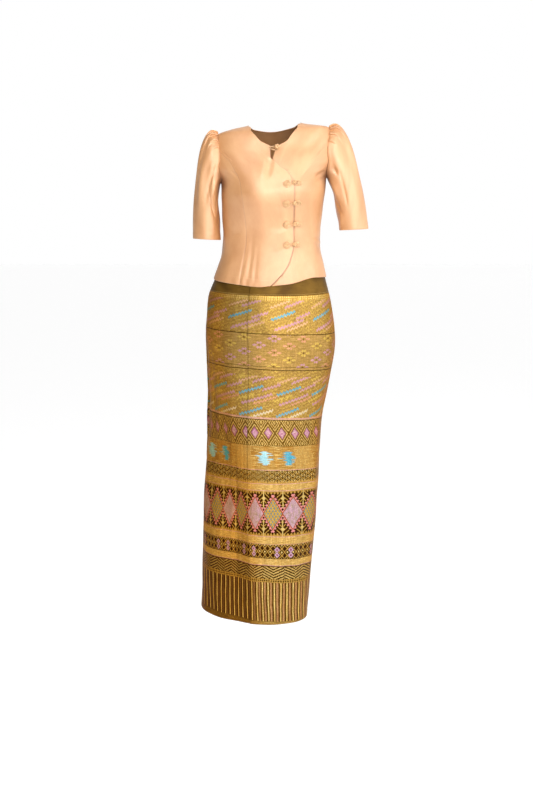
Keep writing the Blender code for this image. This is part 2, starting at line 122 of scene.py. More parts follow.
# The two fronts: name, side (1 is the wearer's left), how much the princess seam shows, columns of the side
# panel's grid, and their lines
FRONTS = (
    ("right", -1, 0.5, 54, PRINCESS_RIGHT, NECKLINE_RIGHT, OVER_EDGE, HEM_RIGHT_SIDE, HEM_RIGHT_CENTRE),
    ("left", 1, 0.12, 66, PRINCESS_LEFT, NECKLINE_LEFT, UNDER_EDGE, HEM_LEFT_SIDE, HEM_LEFT_CENTRE),
)

# Broad folds of the blouse: angle in degrees, level of the middle, half length, width in degrees, depth
BLOUSE_FOLDS = metres(
    (-16, -375, 45, 2.2, 1.6), (-23, -365, 60, 2.4, 1.8), (-31, -380, 40, 2, 1.4), (82, -305, 22, 12, 3),
    (-84, -300, 24, 12, 2.2), (118, -300, 55, 7, 2), (-118, -300, 55, 7, 2),
    plain=(0, 3),
)

# Creases of the blouse, from one end to the other: distance across and level of each end, width, height
# (a trough is negative), and how much of the height is left at the first end
FRONT_CREASES = metres(
    (-96, -404, -95.5, -381.6, 6, 0.4, 1), (-88, -404, -87.9, -377.4, 5.4, -0.4, 1),
    (-79, -405, -80, -371.8, 6, 0.5, 1), (-70.5, -406, -72, -378.8, 4.8, -0.5, 1),
    (-63, -407, -66, -369.7, 5.4, 0.5, 1), (-55, -407, -59.5, -376, 4.8, -0.5, 1),
    (-47.5, -408, -54.5, -366.2, 5.4, 0.5, 1), (-39, -408, -45.5, -377.4, 5.4, -0.4, 1),
    (-30, -408, -35, -381.6, 7.2, 0.3, 1), (-123, -398, -102, -320, 11.4, 1.3, 1),
    (-108, -402, -93, -335, 9.6, -1.2, 1), (-100, -276, -78, -270, 4.5, -1.2, 0.3),
    (-108, -256, -90, -250, 5, 1.2, 0.6), (-109, -115, -94, -133, 3.8, -1.4, 0.4),
    (-102, -122, -87, -139, 3.6, -1.2, 0.2), (-118, -124, -98, -148, 5, -1.8, 0.9),
    (-112, -132, -90, -154, 4.5, 1, 0.7), (-90, -65, -50, -118, 11, -1.2, 0.5),
    (-10, -102, -19, -152, 7.5, -4.2, 0.9), (-23, -102, -34, -152, 8, 1.6, 0.8),
    (42, -207, -15, -218, 6, -0.8, 0.8), (40, -256, -8, -272, 6.5, -1, 0.8),
    (40, -262, 0, -285, 6, 0.8, 0.6), (40, -306, -6, -330, 7, -0.9, 0.8),
    (116, -36, 70, -90, 10, -2.4, 0.8), (106, -29, 58, -82, 10, 1.4, 0.8),
    (124, -133, 99, -147, 4.2, -2.4, 1), (125, -125, 95, -135, 4.6, 1.4, 0.8),
    (124, -145, 93, -164, 5.5, -1.6, 0.8), (118, -303, 82, -293, 4.5, 2.2, 1),
    (118, -295, 86, -285, 4, -1.8, 0.9), (118, -311, 88, -304, 4.2, -1.6, 0.8),
    (115, -264, 80, -270, 5, -1, 0.7), (76, -396, 74, -345, 9, -1.4, 1), (102, -391, 96, -335, 8, 1.4, 1),
    (20, -175, 24, -235, 16, -0.8, 0.3), (-35, -180, -40, -270, 18, 1, 0.3),
    plain=(6,),
)
BACK_CREASES = metres(
    (-85, -398, -78, -330, 9, 1.8, 1), (-56, -401, -50, -318, 8, -1.8, 1),
    (-23, -402, -22, -300, 10, 2, 1), (15, -402, 16, -322, 8.5, -1.8, 1),
    (49, -401, 42, -310, 9.5, 1.9, 1), (83, -398, 74, -335, 8, -1.6, 1),
    (-120, -135, -55, -180, 9, -2.2, 0.9), (-118, -155, -60, -202, 8.5, 1.4, 0.9),
    (120, -132, 50, -172, 9, -2.2, 0.9), (119, -154, 64, -210, 8.5, 1.4, 0.9),
    (-20, -245, 50, -258, 6, -1.6, 0.2), (-60, -260, 15, -272, 5.5, 1.4, 0.2),
    (-90, -275, -20, -286, 5.5, -1.4, 0.5), (30, -282, 95, -272, 6, -1.4, 0.2),
    (-50, -70, 0, -85, 11, -1, 0.2), (55, -65, 10, -80, 11, -1, 0.2),
    plain=(6,),
)

# Sleeves: name, side, cuff centre, cuff half width and half depth, lean of the arm
SLEEVES = (
    ("left", 1, (0.2037, 0.004, -0.2680), 0.0365, 0.048, 0.15),
    ("right", -1, (-0.1712, 0.002, -0.2925), 0.0350, 0.047, 0.02),
)

# How the sleeve leaves the armhole and comes to the cuff: at the top, in the middle and underneath
PUFF_OUT, PUFF_UP, CUFF_HANDLE = (0.046, 0.024, 0.014), (0.040, -0.004, -0.008), (0.166, 0.090, 0.045)
PUFF_FORWARD, CUFF_TILT = 0.020, 0.05

# Knife pleats of the sleeve head: angle of the crest from the shoulder seam in degrees, depth, reach down;
# the width of the ramp before the crest and of the drop after it, and how far a pleat leans for its height
PLEATS = metres((9, 6.2, 0.34), (27, 7.2, 0.42), (46, 6, 0.36), (63, 4.2, 0.28), plain=(0, 2))
PLEAT_RUN, PLEAT_DROP, PLEAT_LEAN = math.radians(15), math.radians(3.6), 3.4 / 7

# A pleat's ramp is this power of a straight one; the shares of the sleeve where the pleats stand full and
# where they start to fade; and where the sleeve's slow unevenness is full
PLEAT_POWER, PLEAT_FULL, PLEAT_FADES, UNEVEN_FULL = 1.6, 0.035, 0.05, 0.2

# Folds down the sleeves, from one end to the other: degrees around from the shoulder (the front is 90)
# and share of the way down of each end, width in degrees, height (a trough is negative)
SLEEVE_FOLDS = {
    "left": metres(
        (122, 0.14, 96, 0.46, 7, -5), (96, 0.42, 104, 0.8, 6.5, -4.2), (84, 0.18, 72, 0.72, 13, 2.6),
        (150, 0.26, 126, 0.66, 9, 3.4), (170, 0.48, 124, 0.86, 6.5, -3.6), (140, 0.72, 150, 0.98, 9, 2.2),
        (48, 0.22, 42, 0.9, 12, -2), (20, 0.3, 22, 0.95, 12, 1.6), (-30, 0.2, -34, 0.8, 12, -2.4),
        (-62, 0.15, -56, 0.7, 10, 3), (-88, 0.18, -80, 0.62, 8, -4.4), (-80, 0.58, -98, 0.92, 8, -3.4),
        (-128, 0.25, -112, 0.72, 10, 3.2), (-160, 0.42, -128, 0.84, 7, -3.2),
        plain=range(5),
    ),
    "right": metres(
        (134, 0.12, 98, 0.72, 8, 3.6), (104, 0.14, 76, 0.78, 8, -4.2), (160, 0.2, 132, 0.62, 7, -3.4),
        (92, 0.55, 146, 0.76, 6, -2.6), (146, 0.76, 172, 0.52, 6, -2.6), (120, 0.78, 116, 0.98, 10, 2),
        (62, 0.24, 50, 0.92, 11, 2.6), (36, 0.26, 30, 0.88, 10, -2.6), (8, 0.3, 10, 0.9, 12, 1.4),
        (-26, 0.2, -30, 0.84, 11, -2.6), (-58, 0.16, -54, 0.74, 11, 3), (-92, 0.2, -84, 0.6, 8, -4),
        (-82, 0.6, -104, 0.9, 8, -3.2), (-132, 0.24, -116, 0.76, 10, 3), (-164, 0.4, -134, 0.82, 7, -3),
        plain=range(5),
    ),
}

# Folds of the skirt, from one end to the other: angle and level of each end, width in degrees, height
SKIRT_FOLDS = metres(
    (-24.5, -700, -23.5, -1275, 0.9, -1), (-28, -760, -27.5, -1275, 1, -0.9),
    (-33, -640, -34, -1230, 2.4, -1.6), (-38, -700, -40, -1275, 3.2, 1.6),
    (-52, -460, -44, -700, 4.5, -2.4), (-60, -560, -56, -1000, 6, 1.8), (-72, -480, -66, -1275, 5, -2),
    (16, -1040, 15.5, -1275, 1.8, 1.6), (20, -1060, 20, -1275, 2.4, -1.2), (9, -1080, 8, -1275, 3.4, -1),
    (44, -900, 42, -1275, 5, -1.4), (58, -560, 60, -1275, 6.5, 1.8), (76, -500, 80, -1200, 6, -2.2),
    (102, -560, 100, -1275, 6, 2), (124, -640, 128, -1275, 5.5, -2.6), (146, -500, 150, -1275, 6.5, 2.4),
    (166, -720, 164, -1275, 4.5, -2.4), (186, -560, 190, -1200, 6.5, 2), (208, -700, 204, -1275, 5, -2.6),
    (228, -480, 232, -1150, 6.5, 2.2), (250, -600, 246, -1275, 5.5, -2.4), (-12, -450, 4, -560, 3.2, 0.9),
    (24, -440, 30, -600, 4, -1.2), (-34, -440, -30, -560, 3.6, 1.4),
    plain=(0, 2, 4),
)

# How much of a fold's height is left at its first end where its row doesn't say, and the shares of its
# length over which it grows and fades
FOLD_KEPT, FOLD_GROWS, FOLD_FADES = 0.45, 0.4, 0.55

# Where the skirt's face turns away to its right side: level, distance across, how far it falls back; then
# the widths over which it falls and comes back to the form, and how far behind the middle this reaches
TURNED = metres(
    (-470, -122, 0), (-580, -108, 6), (-730, -98, 11), (-830, -88, 14), (-930, -66, 17), (-1030, -57, 18),
    (-1130, -52, 15), (-1210, -50, 11), (-1280, -48, 7),
)
TURNED_FALL, TURNED_END, TURNED_BACK = 0.046, 0.115, 0.03

# Frogs on the lap: distance across and level of each ball, and how far its coil and its loop lie from it;
# then the coils' and loops' radii and domes, the radii of the cords, of the dark cord that paints each coil's
# shadow on the cloth and of the balls, and how far they stand off
FROGS = metres(
    (47.6, -157, 16, 14.5), (49.2, -205.5, 18.6, 12.5), (49.2, -256, 18.2, 12.5),
    (48.8, -305.5, 16.8, 12),
)
COIL_RADIUS, LOOP_RADIUS, COIL_DOME, LOOP_DOME = 0.0094, 0.0068, 0.0026, 0.00182
CORD, SHADOW_CORD_RADIUS, BALL_RADIUS = 0.0013, 0.0011, 0.0050
LOOP_RISE, SHADOW_CORD_RISE, BALL_RISE = 0.0002, 0.0004, 0.00108

# A coil's start and the distance of its turns, in cords, and its points; the arc of the dark cord that
# paints the coil's shadow on the cloth, at its lower left
COIL_START, COIL_GAP, COIL_POINTS = 0.2, 1.04, 150
SHADOW_CORD_BEND = (math.radians(150), math.radians(318))

# How far before the ball's middle the coil's cord ends, and how far before its own middle the loop's cord
# ends; where cords come down from the lap, from its edge; and how much of a ball's radius lies within the
# middle of a loop's cord, on the lap and at the neck
TAIL_END, LOOP_END, EDGE_FALL, LOOP_HOLD, NECK_HOLD = 0.003, 0.002, (-0.001, 0.004), 0.84, 0.9

# The neck's ball: place, radius and rise; its loop's two starts, bend and fall from the lap
NECK_BALL, NECK_BALL_RADIUS, NECK_BALL_RISE = (0.0070, -0.0695), 0.0068, 0.0004
NECK_LOOP_STARTS, NECK_BEND = ((-0.013, -0.0674), (-0.013, -0.0706)), 0.62 * HALF_TURN
NECK_LOOP_FALL = (-0.0060, 0.0040)

# A cord's sides, the distance of its rings in radii, its twist, and the height and twist of its three ridges;
# the strength of its painted shade toward the cloth; and a direction along which none of the cords starts
CORD_SIDES, RING_GAP, CORD_TWIST, RIDGE, RIDGE_TWIST = 12, 0.45, 0.22, 0.05, 1.1
CORD_SHADE, CROSSWAYS = 0.9, (0.3, 1.0, 0.2)

# A ball's cord and core as shares of its radius, how often its cord goes round and how often it swings up and
# down, how far it swings, how far it lifts at a crossing, in cords, and the heights of its core, in radii
BALL_CORD, BALL_CORE, BALL_TURNS, BALL_SWINGS = 0.26, 0.72, 3, 5
BALL_SWING, BALL_CROSSING, CORE_HEIGHTS = math.radians(62), 0.45, (-0.62, -0.2, 0.2, 0.62)

# Seams sink and free edges roll, in depth and width; a turned-up hem stands up a little over its depth
SEAM_DEPTH, SEAM_WIDTH, SKIRT_SEAM_DEPTH = 0.0006, 0.0013, 0.00036
ROLL_DEPTH, ROLL_WIDTH = 0.0004, 0.0012
HEM_RISE, HEM_STEP, BLOUSE_HEM_DEPTH, CUFF_DEPTH, SKIRT_HEM_DEPTH = 0.0003, 0.001, 0.019, 0.016, 0.010

# Widths of the painted shade lines at a seam and along the lap's edge, and the strength of the painted shade
# line at the wrap's edge
SEAM_SHADE, LAP_SHADE, WRAP_SHADE = 0.0009, 0.0020, 0.12

# Beside the lap the cloth under it sinks: depth, distance and width, then the distance and width of the
# painted shadow line beside the lap
DIP_DEPTH, DIP_AT, DIP_WIDTH, SHADOW_LINE_AT, SHADOW_LINE_WIDTH = 0.0015, 0.0006, 0.0018, 0.0002, 0.0013

# Painted shade deepens the tone round the underside of the armhole: strength, reach, level of the middle and
# half height, and on the sleeve, between which heights under its middle, as shares of its half height
ARMHOLE_SHADE, ARMHOLE_REACH, UNDERARM, UNDERARM_REACH = 1.3, 0.028, -0.154, 0.030
SLEEVE_UNDERSIDE = (0.3, 0.9)

# How far before and behind its middle, as a share of the figure's depth, the front's creases give way to the
# back's
SIDE_BLEND = 0.2

# How deep the sleeve's start is tucked under the armhole's edge
SLEEVE_TUCK = 0.0010

# Degrees around that are as long as the sleeve, and as a metre of the skirt's height
SLEEVE_STRETCH, SKIRT_STRETCH = 230, 400

# Grid sizes, as counts of faces, and how much the rows and columns crowd toward the edges
SEAM_ROWS, ARMHOLE_ROWS = 120, 30
SHOULDER_COLUMNS, NECK_COLUMNS, BACK_NECK_COLUMNS = 24, 54, 84
SLEEVE_AROUND, SLEEVE_ALONG = 260, 110
SKIRT_AROUND, WAISTBAND_ROWS, BODY_ROWS, BORDER_ROWS = 300, 40, 100, 150
PANEL_CROWD, ROW_CROWD, WRAP_CROWD, SHOULDER_CROWD = 0.72, 0.6, 0.35, 0.45

# Steps between two points of a line before it is spaced out, and points of the armhole to measure from
CURVE_STEPS, ARMHOLE_POINTS = 300, 200

# A shell's bake map: the height where its outer face starts, those of its rim, and where its inner face ends
BAKE_OUTER, BAKE_RIM, BAKE_INNER = 0.21, (0.20, 0.18), 0.17

# Slow unevenness: size, two frequencies and a start
BLOUSE_WAVES = metres(
    (0.6, 52, 17, 0.4), (0.5, -31, 44, 1.9), (0.4, 78, -36, 4.1), (0.3, 21, 95, 2.2),
    plain=(1, 2, 3),
)
SLEEVE_WAVES = metres((0.7, 2, 9, 0.3), (0.6, -3, 14, 2), (0.4, 5, -11, 4.4), plain=(1, 2, 3))
SKIRT_WAVES = metres(
    (0.7, 5, 12, 0.7), (0.5, -8, 21, 2.8), (0.4, 13, 33, 5.1), (0.3, 3, 60, 1.1),
    plain=(1, 2, 3),
)

# Each repeat of the brocade divides this length around the skirt
CLOTH_AROUND = 0.864

# How far the pattern lies toward the wearer's right of its place, at the front centre and at the sides, and
# how far down this grows
SHIFT_FRONT, SHIFT_SIDE, SHIFT_AT = 0.014, 0.036, math.radians(75)
SHIFT_LEVELS = (0.70, 0.95)

# How much lower than its level the pattern reads on the wearer's right, near the hem
TILT, TILT_START, TILT_LEVELS = 0.0085, math.radians(6), (0.95, 1.10)

# Distance between the threads of the brocade, in millimetres, and the slope of its strokes
WARP, WEFT, STROKE_SLOPE = 1.2, 0.9, 0.36

# The room: the floor's level and half width, the way toward its bright side and how bright it is from the
# dim side to the bright one, the lamps' colour, and the camera's sensor and lens in millimetres, its place,
# and how many degrees it looks down
FLOOR, FLOOR_REACH = -1.508, 30
BRIGHT_SIDE = (0.90, 0.40, 0.17)
BRIGHTNESS = {"From Min": -0.3, "From Max": 0.15, "To Min": 0.08, "To Max": 1.0}
LAMP_COLOUR = (1, 0.99, 0.97)
SENSOR, LENS, CAMERA_PLACE, CAMERA_DOWN = 24, 36.18, (-0.019, -3.1, -0.238), 8.6

# Soft round lamps: name, place, what they are turned toward, size, power, and their spread in degrees
LAMPS = (
    ("front", (0.6, -3.2, 0.6), (0, 0, -0.5), 2.6, 98, 180),
    ("side", (2.6, -1.4, 0.4), (0, 0, -0.5), 2.0, 37, 180),
    ("top", (-0.7, -2.0, 1.7), (0, 0, -0.1), 0.8, 2.4, 42),
)


def through(rows, at):
    """The columns of a table read between its rows, by a smooth curve that doesn't overshoot them."""
    rows = np.array(sorted(rows), float)
    place, value = rows[:, 0], rows[:, 1:]
    step = np.diff(place)[:, None]
    slope = np.diff(value, axis=0) / step
    same_way = slope[:-1] * slope[1:] > 0
    safe = np.where(same_way, slope[:-1] + slope[1:], 1)
    tangent = np.vstack([slope[:1], np.where(same_way, 2 * slope[:-1] * slope[1:] / safe, 0), slope[-1:]])
    at = np.clip(at, place[0], place[-1])
    low = np.clip(np.searchsorted(place, at, side="right") - 1, 0, len(step) - 1)
    run = step[low]
    part = (at - place[low])[..., None] / run
    rest = 1 - part
    return (
        (1 + 2 * part) * rest**2 * value[low]
        + part * rest**2 * run * tangent[low]
        + part**2 * (3 - 2 * part) * value[low + 1]
        - part**2 * rest * run * tangent[low + 1]
    )


def eased(at, start, end):
    """0 before start, 1 after end, with no corner on the way."""
    part = np.clip((at - start) / (end - start), 0, 1)
    return part * part * (3 - 2 * part)


def near(distance, width):
    return np.exp(-((distance / width) ** 2))


def turned_up(distance, depth):
    """How far a turned-up edge stands up at this distance from it."""
    return HEM_RISE * (1 - eased(distance, depth - HEM_STEP, depth + HEM_STEP))


def nearest_turn(angle):
    return (angle + HALF_TURN) % (2 * HALF_TURN) - HALF_TURN


def unit(vector):
    return vector / np.linalg.norm(vector, axis=-1, keepdims=True)


def figure(angle, level):
    """The point of the figure at this angle and level."""
    centre, half_width, front, back, turn, roll, rise = np.moveaxis(through(FIGURE, level), -1, 0)
    facing = np.cos(angle)
    across = half_width * np.sin(angle)
    up, aside = (level - DART_LEVEL) / DART_REACH, (np.abs(across) - DART_AT) / DART_WIDTH
    swell = np.exp(-(up**2) - aside**2)
    depth = np.where(facing > 0, front, back)
    along = -depth * facing - DART_RISE * swell * (facing > 0)
    turn = np.radians(turn)
    x = centre + across * np.cos(turn) - along * np.sin(turn)
    y = across * np.sin(turn) + along * np.cos(turn)
    return np.stack([x, y, level + roll * x + rise * (1 - facing) / 2], axis=-1)


def outward(angle, level):
    """The direction straight out from the figure."""
    reach = 0.0005
    by_angle = figure(angle + reach, level) - figure(angle - reach, level)
    by_level = figure(angle, level + reach) - figure(angle, level - reach)
    return unit(np.cross(by_angle, by_level))


def on_front(points):
    """Angles and levels of points given by their distance across and their level."""
    across, level = np.array(points, float).T
    centre, half_width = np.moveaxis(through(FIGURE, level), -1, 0)[:2]
    return np.stack([np.arcsin((across - centre) / half_width), level], axis=-1)


def crowded(count, ends=PANEL_CROWD):
    """Places from 0 to 1, closer together at both ends."""
    even = np.linspace(0, 1, count + 1)
    return even - ends * np.sin(2 * HALF_TURN * even) / (2 * HALF_TURN)


def running(points, axis=0):
    """Distance along a path or a grid from its first point, by rows or by columns."""
    steps = np.linalg.norm(np.diff(points, axis=axis), axis=-1)
    first = np.zeros_like(np.take(steps, [0], axis=axis))
    return np.cumsum(np.concatenate([first, steps], axis=axis), axis=axis)


def spaced(points, run, at):
    """The points at these distances along a path."""
    return np.stack([np.interp(at, run, part) for part in points.T], axis=-1)


def curve(points, count):
    """Points along the smooth curve through these angles and levels, closer together at its ends."""
    points = np.array(points, float)
    ends = np.vstack([2 * points[0] - points[1], points, 2 * points[-1] - points[-2]])
    place = np.linspace(0, len(points) - 1, CURVE_STEPS * len(points))
    low = np.minimum(place.astype(int), len(points) - 2)
    part = (place - low)[:, None]
    before, first, second, after = (ends[low + k] for k in range(4))
    bend = 2 * before - 5 * first + 4 * second - after
    twist = 3 * (first - second) + after - before
    fine = first + 0.5 * part * (second - before + part * (bend + part * twist))
    run = running(figure(*fine.T))
    return spaced(fine, run, run[-1] * crowded(count))


def joined(*curves):
    return np.vstack([curves[0]] + [each[1:] for each in curves[1:]])


def patch(left, right, bottom, top):
    """The angles and levels of a panel between its four edges, rows from bottom to top."""
    across = crowded(len(bottom) - 1)[None, :, None]
    up = crowded(len(left) - 1)[:, None, None]
    sides = (1 - across) * left[:, None] + across * right[:, None]
    ends = (1 - up) * bottom[None] + up * top[None]
    return sides + ends - (1 - up) * sides[:1] - up * sides[-1:]


def armhole(side, around):
    """Angle and level on the armhole: around is 0 at the shoulder and a quarter turn at the front."""
    spread = np.where(np.sin(around) > 0, ARMHOLE_FRONT, ARMHOLE_BACK)
    level = (ARMHOLE_TOP + ARMHOLE_END) / 2 + (ARMHOLE_TOP - ARMHOLE_END) / 2 * np.cos(around)
    return np.stack([side * (QUARTER - spread * np.sin(around)), level], axis=-1)


def folds(angle, level):
    """How deep the broad folds press the blouse in here."""
    depth = 0
    for fold_angle, middle, half_length, width, fold_depth in BLOUSE_FOLDS:
        away = (angle - math.radians(fold_angle)) / math.radians(width)
        depth = depth + fold_depth * np.exp(-(away**2) - ((level - middle) / half_length) ** 2)
    return depth


def creased(first, second, creases, stretch=1, turn=None):
    """Height of a set of creases over the two coordinates of a grid. Stretch turns the second coordinate
    into the first one's unit, and turn is the first one's whole turn where it is an angle. A crease fades
    toward its second end, and keeps a share of its height at its first end."""
    height = np.zeros(np.shape(first))
    for first_start, second_start, first_end, second_end, width, rise, *kept in creases:
        run = (first_end - first_start, (second_end - second_start) * stretch)
        gap = first - first_start
        if turn:
            gap = (gap + turn / 2) % turn - turn / 2
        up = (second - second_start) * stretch
        part = np.clip((gap * run[0] + up * run[1]) / (run[0] ** 2 + run[1] ** 2), 0, 1)
        away = np.hypot(gap - part * run[0], up - part * run[1]) / width
        share = kept[0] if kept else FOLD_KEPT
        fade = eased(1 - part, 0, FOLD_FADES) * (share + (1 - share) * eased(part, 0, FOLD_GROWS))
        height += rise * fade * near(away, 1)
    return height


def rolling(first, second, waves):
    """A slow unevenness: the sum of waves given by their size, their two frequencies and their start."""
    return sum(size * np.sin(one * first + two * second + start) for size, one, two, start in waves)


def from_edges(points):
    """Distance of each point of a grid from its left, right, bottom and top edges."""
    along, up = running(points, 1), running(points)
    return along, along[:, -1:] - along, up, up[-1:] - up


def from_line(across, level, line):
    """Distance of each point from a line of points across and down the front."""
    line = np.array(line)
    best = np.full(across.shape, 1.0)
    for first, run in zip(line, np.diff(line, axis=0)):
        gap, up = across - first[0], level - first[1]
        part = np.clip((gap * run[0] + up * run[1]) / (run @ run), 0, 1)
        best = np.minimum(best, np.hypot(gap - part * run[0], up - part * run[1]))
    return best


def from_armhole(points):
    """Distance of each point from the nearer armhole."""
    around = np.linspace(-HALF_TURN, HALF_TURN, ARMHOLE_POINTS)
    rims = np.vstack([figure(*armhole(side, around).T) for side in (-1, 1)])
    best = np.full(points.shape[:-1], 1.0)
    for spot in rims:
        best = np.minimum(best, np.linalg.norm(points - spot, axis=-1))
    return best


def ring_of(grid):
    """A grid with its first column again after its last."""
    return np.concatenate([grid, grid[:, :1]], axis=1)


def quads(grid, flip=False):
    """The four corners of each face of a grid, in turn."""
    cut = [grid[:-1, :-1], grid[:-1, 1:], grid[1:, 1:], grid[1:, :-1]]
    return np.stack(cut[::-1] if flip else cut, axis=2).reshape(-1, 4, *grid.shape[2:])


def rim_quads(outer, inner):
    """The corners of the faces that join an outer rim to the inner one."""
    return quads(np.stack([outer, inner])[:, ::-1])[::-1]


def new_mesh(name, points, faces, seam, finish, **layers):
    """A smooth mesh of four-sided faces. The seam argument is each point's painted shade, where 1 is fully
    darkened (at seams, edges, round the underarm and under the cords), and layers are its maps: a place for
    each face's corner."""
    mesh = bpy.data.meshes.new(name)
    faces = np.vstack(faces).astype(np.int32)
    mesh.vertices.add(len(points))
    mesh.vertices.foreach_set("co", points.astype(np.float32).ravel())
    mesh.loops.add(faces.size)
    mesh.loops.foreach_set("vertex_index", faces.ravel())
    mesh.polygons.add(len(faces))
    mesh.polygons.foreach_set("loop_start", np.arange(0, faces.size, 4, dtype=np.int32))
    mesh.update(calc_edges=True)
    for layer, places in layers.items():
        mesh.uv_layers.new(name=layer)
        mesh.uv_layers[layer].uv.foreach_set("vector", np.vstack(places).astype(np.float32).ravel())
    # Painted shade: stored on the points and read by the finish to darken its colour
    mesh.attributes.new("Seam", "FLOAT", "POINT").data.foreach_set("value", seam.astype(np.float32))
    mesh.materials.append(finish)
    mesh.shade_smooth()
    made = bpy.data.objects.new(name, mesh)
    bpy.context.scene.collection.objects.link(made)
    return made


def shell(name, outer, inner, across, down, seam, finish, closed=False):
    """A thin cloth between two grids of points. Across and down are each point's place on the cloth in
    metres. A closed grid joins its last column to its first, and its place has one column more."""
    inside = outer[..., 0].size
    number = np.arange(inside).reshape(outer.shape[:2])
    if closed:
        number = ring_of(number)
    rows, wide = number.shape
    place = np.stack([across, down], axis=-1)
    share = np.stack(np.meshgrid(np.linspace(0, 1, wide), np.linspace(0, 1, rows)), axis=-1)
    faces = [quads(number), inside + quads(number, True)]
    cloth_map = [quads(place), quads(place, True)]
    bake_map = [quads(share) * (1, 1 - BAKE_OUTER) + (0, BAKE_OUTER), quads(share, True) * (1, BAKE_INNER)]
    low = [(0, column) for column in range(wide)]
    high = [(rows - 1, column) for column in reversed(range(wide))]
    right = [(row, wide - 1) for row in range(rows)]
    left = [(row, 0) for row in reversed(range(rows))]
    for rim in (low, high) if closed else (low + right[1:] + high[1:] + left[1:],):
        rim = tuple(np.array(rim).T)
        strip = np.stack(np.meshgrid(np.linspace(0, 1, len(rim[0])), BAKE_RIM), axis=-1)
        faces.append(rim_quads(number[rim], inside + number[rim]))
        cloth_map.append(rim_quads(place[rim], place[rim]))
        bake_map.append(rim_quads(*strip))
    points = np.vstack([outer.reshape(-1, 3), inner.reshape(-1, 3)])
    made = new_mesh(name, points, faces, np.tile(seam.ravel(), 2), finish, Cloth=cloth_map, OFBake=bake_map)
    crossed = np.cross(outer[1:, 1:] - outer[:-1, :-1], outer[1:, :-1] - outer[:-1, 1:])
    area = np.linalg.norm(crossed, axis=-1).sum() / 2
    made["size"] = (running(outer, 1).max(), running(outer).max(), area)
    return made


def tube(name, paths, radii, finish, shades=(0, 0)):
    """Rolled cords with rounded ends along these paths, as one piece, with painted shade on their sides
    toward the cloth, and each path darkened further by its value in shades.
    """
    points, faces, places, seam = [], [], [], []
    start = 0
    turn = np.linspace(0, 2 * HALF_TURN, CORD_SIDES, endpoint=False)
    for path, radius, dark in zip(paths, radii, shades):
        run = running(path)
        even = np.linspace(0, run[-1], max(8, int(run[-1] / (RING_GAP * radius))))
        path = spaced(path, run, even)
        ahead = unit(np.gradient(path, axis=0))
        side = np.cross(ahead[0], CROSSWAYS)
        sideways = []
        for direction in ahead:
            side = unit(side - direction * (side @ direction))
            sideways.append(side)
        upward = np.cross(ahead, sideways)
        end = np.minimum(even, run[-1] - even) / radius
        size = radius * np.sqrt(np.clip(1 - (1 - np.clip(end, 0, 1)) ** 2, 0.001, 1))
        twist = turn + even[:, None] / radius * CORD_TWIST
        ridge = 1 + RIDGE * np.cos(3 * turn + even[:, None] / radius * RIDGE_TWIST)
        ring = np.array(sideways)[:, None] * np.cos(twist)[..., None]
        ring += upward[:, None] * np.sin(twist)[..., None]
        body = path[:, None] + ring * (size[:, None] * ridge)[..., None]
        grid = start + np.arange(twist.size).reshape(twist.shape)
        spot = np.meshgrid(np.linspace(0, 2 * HALF_TURN * radius, CORD_SIDES + 1), even)
        points.append(body.reshape(-1, 3))
        faces.append(quads(ring_of(grid)))
        places.append(quads(np.stack(spot, axis=-1)))
        # Painted shade: darker toward the cloth, with each path's own value added
        seam.append(np.clip((body[..., 1] - path[:, None, 1]) / radius * CORD_SHADE + dark, 0, 1).ravel())
        start += twist.size
    return new_mesh(name, np.vstack(points), faces, np.concatenate(seam), finish, Cloth=places)


def stands_for(piece, node):
    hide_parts(node)
    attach(piece, "root")


def hang(name, finish, angle, level, flat, offset, thickness, across, down, seam):
    """Makes the cloth that stands off the figure by an offset, and lets it stand for its solid."""
    out = outward(angle, level)
    outer = flat + offset[..., None] * out
    stands_for(shell("cloth_" + name, outer, outer - thickness * out, across, down, seam, finish), name)


def blouse_panel(name, edges, finish, free=(0, 0, 1, 1), shown=(1, 1, 1, 1), over=False, under=False):
    """One panel of the blouse. Free says which of its left, right, bottom and top edges aren't sewn, shown
    how much the others show, and over or under on which side of the lap it lies."""
    angle, level = np.moveaxis(patch(*edges), -1, 0)
    flat = figure(angle, level)
    across = flat[..., 0]
    facing = eased(np.cos(angle), -SIDE_BLEND, SIDE_BLEND)
    offset = through(EASE, level)[..., 0] - folds(angle, level) + rolling(across, level, BLOUSE_WAVES)
    offset += facing * creased(across, level, FRONT_CREASES)
    offset += (1 - facing) * creased(across, level, BACK_CREASES)
    edge = from_edges(flat)
    hole = from_armhole(flat)
    # Painted shade round the underside of the armhole
    seam = ARMHOLE_SHADE * near(hole, ARMHOLE_REACH) * near(level - UNDERARM, UNDERARM_REACH)
    for distance, is_free, show in zip(edge, free, shown):
        if is_free:
            offset -= ROLL_DEPTH * near(distance, ROLL_WIDTH)
        else:
            offset -= show * SEAM_DEPTH * near(distance, SEAM_WIDTH)
            # Painted shade line along a sewn seam
            seam = np.maximum(seam, show * near(distance, SEAM_SHADE))
    if over:
        offset += LAP * eased(across, LIFT_START, LIFT_FULL)
        # Painted shadow line along the lap's free edge
        seam = np.maximum(seam, near(edge[1], LAP_SHADE))
    if under:
        from_lap = from_line(across, level, OVER_EDGE)
        offset -= DIP_DEPTH * near(from_lap - DIP_AT, DIP_WIDTH)
        # Painted shadow line on the cloth just beside the lap's edge
        seam = np.maximum(seam, near(from_lap - SHADOW_LINE_AT, SHADOW_LINE_WIDTH))
    offset += turned_up(edge[2], BLOUSE_HEM_DEPTH)
    hang(name, finish, angle, level, flat, offset, BLOUSE_CLOTH, edge[0], -level, seam)


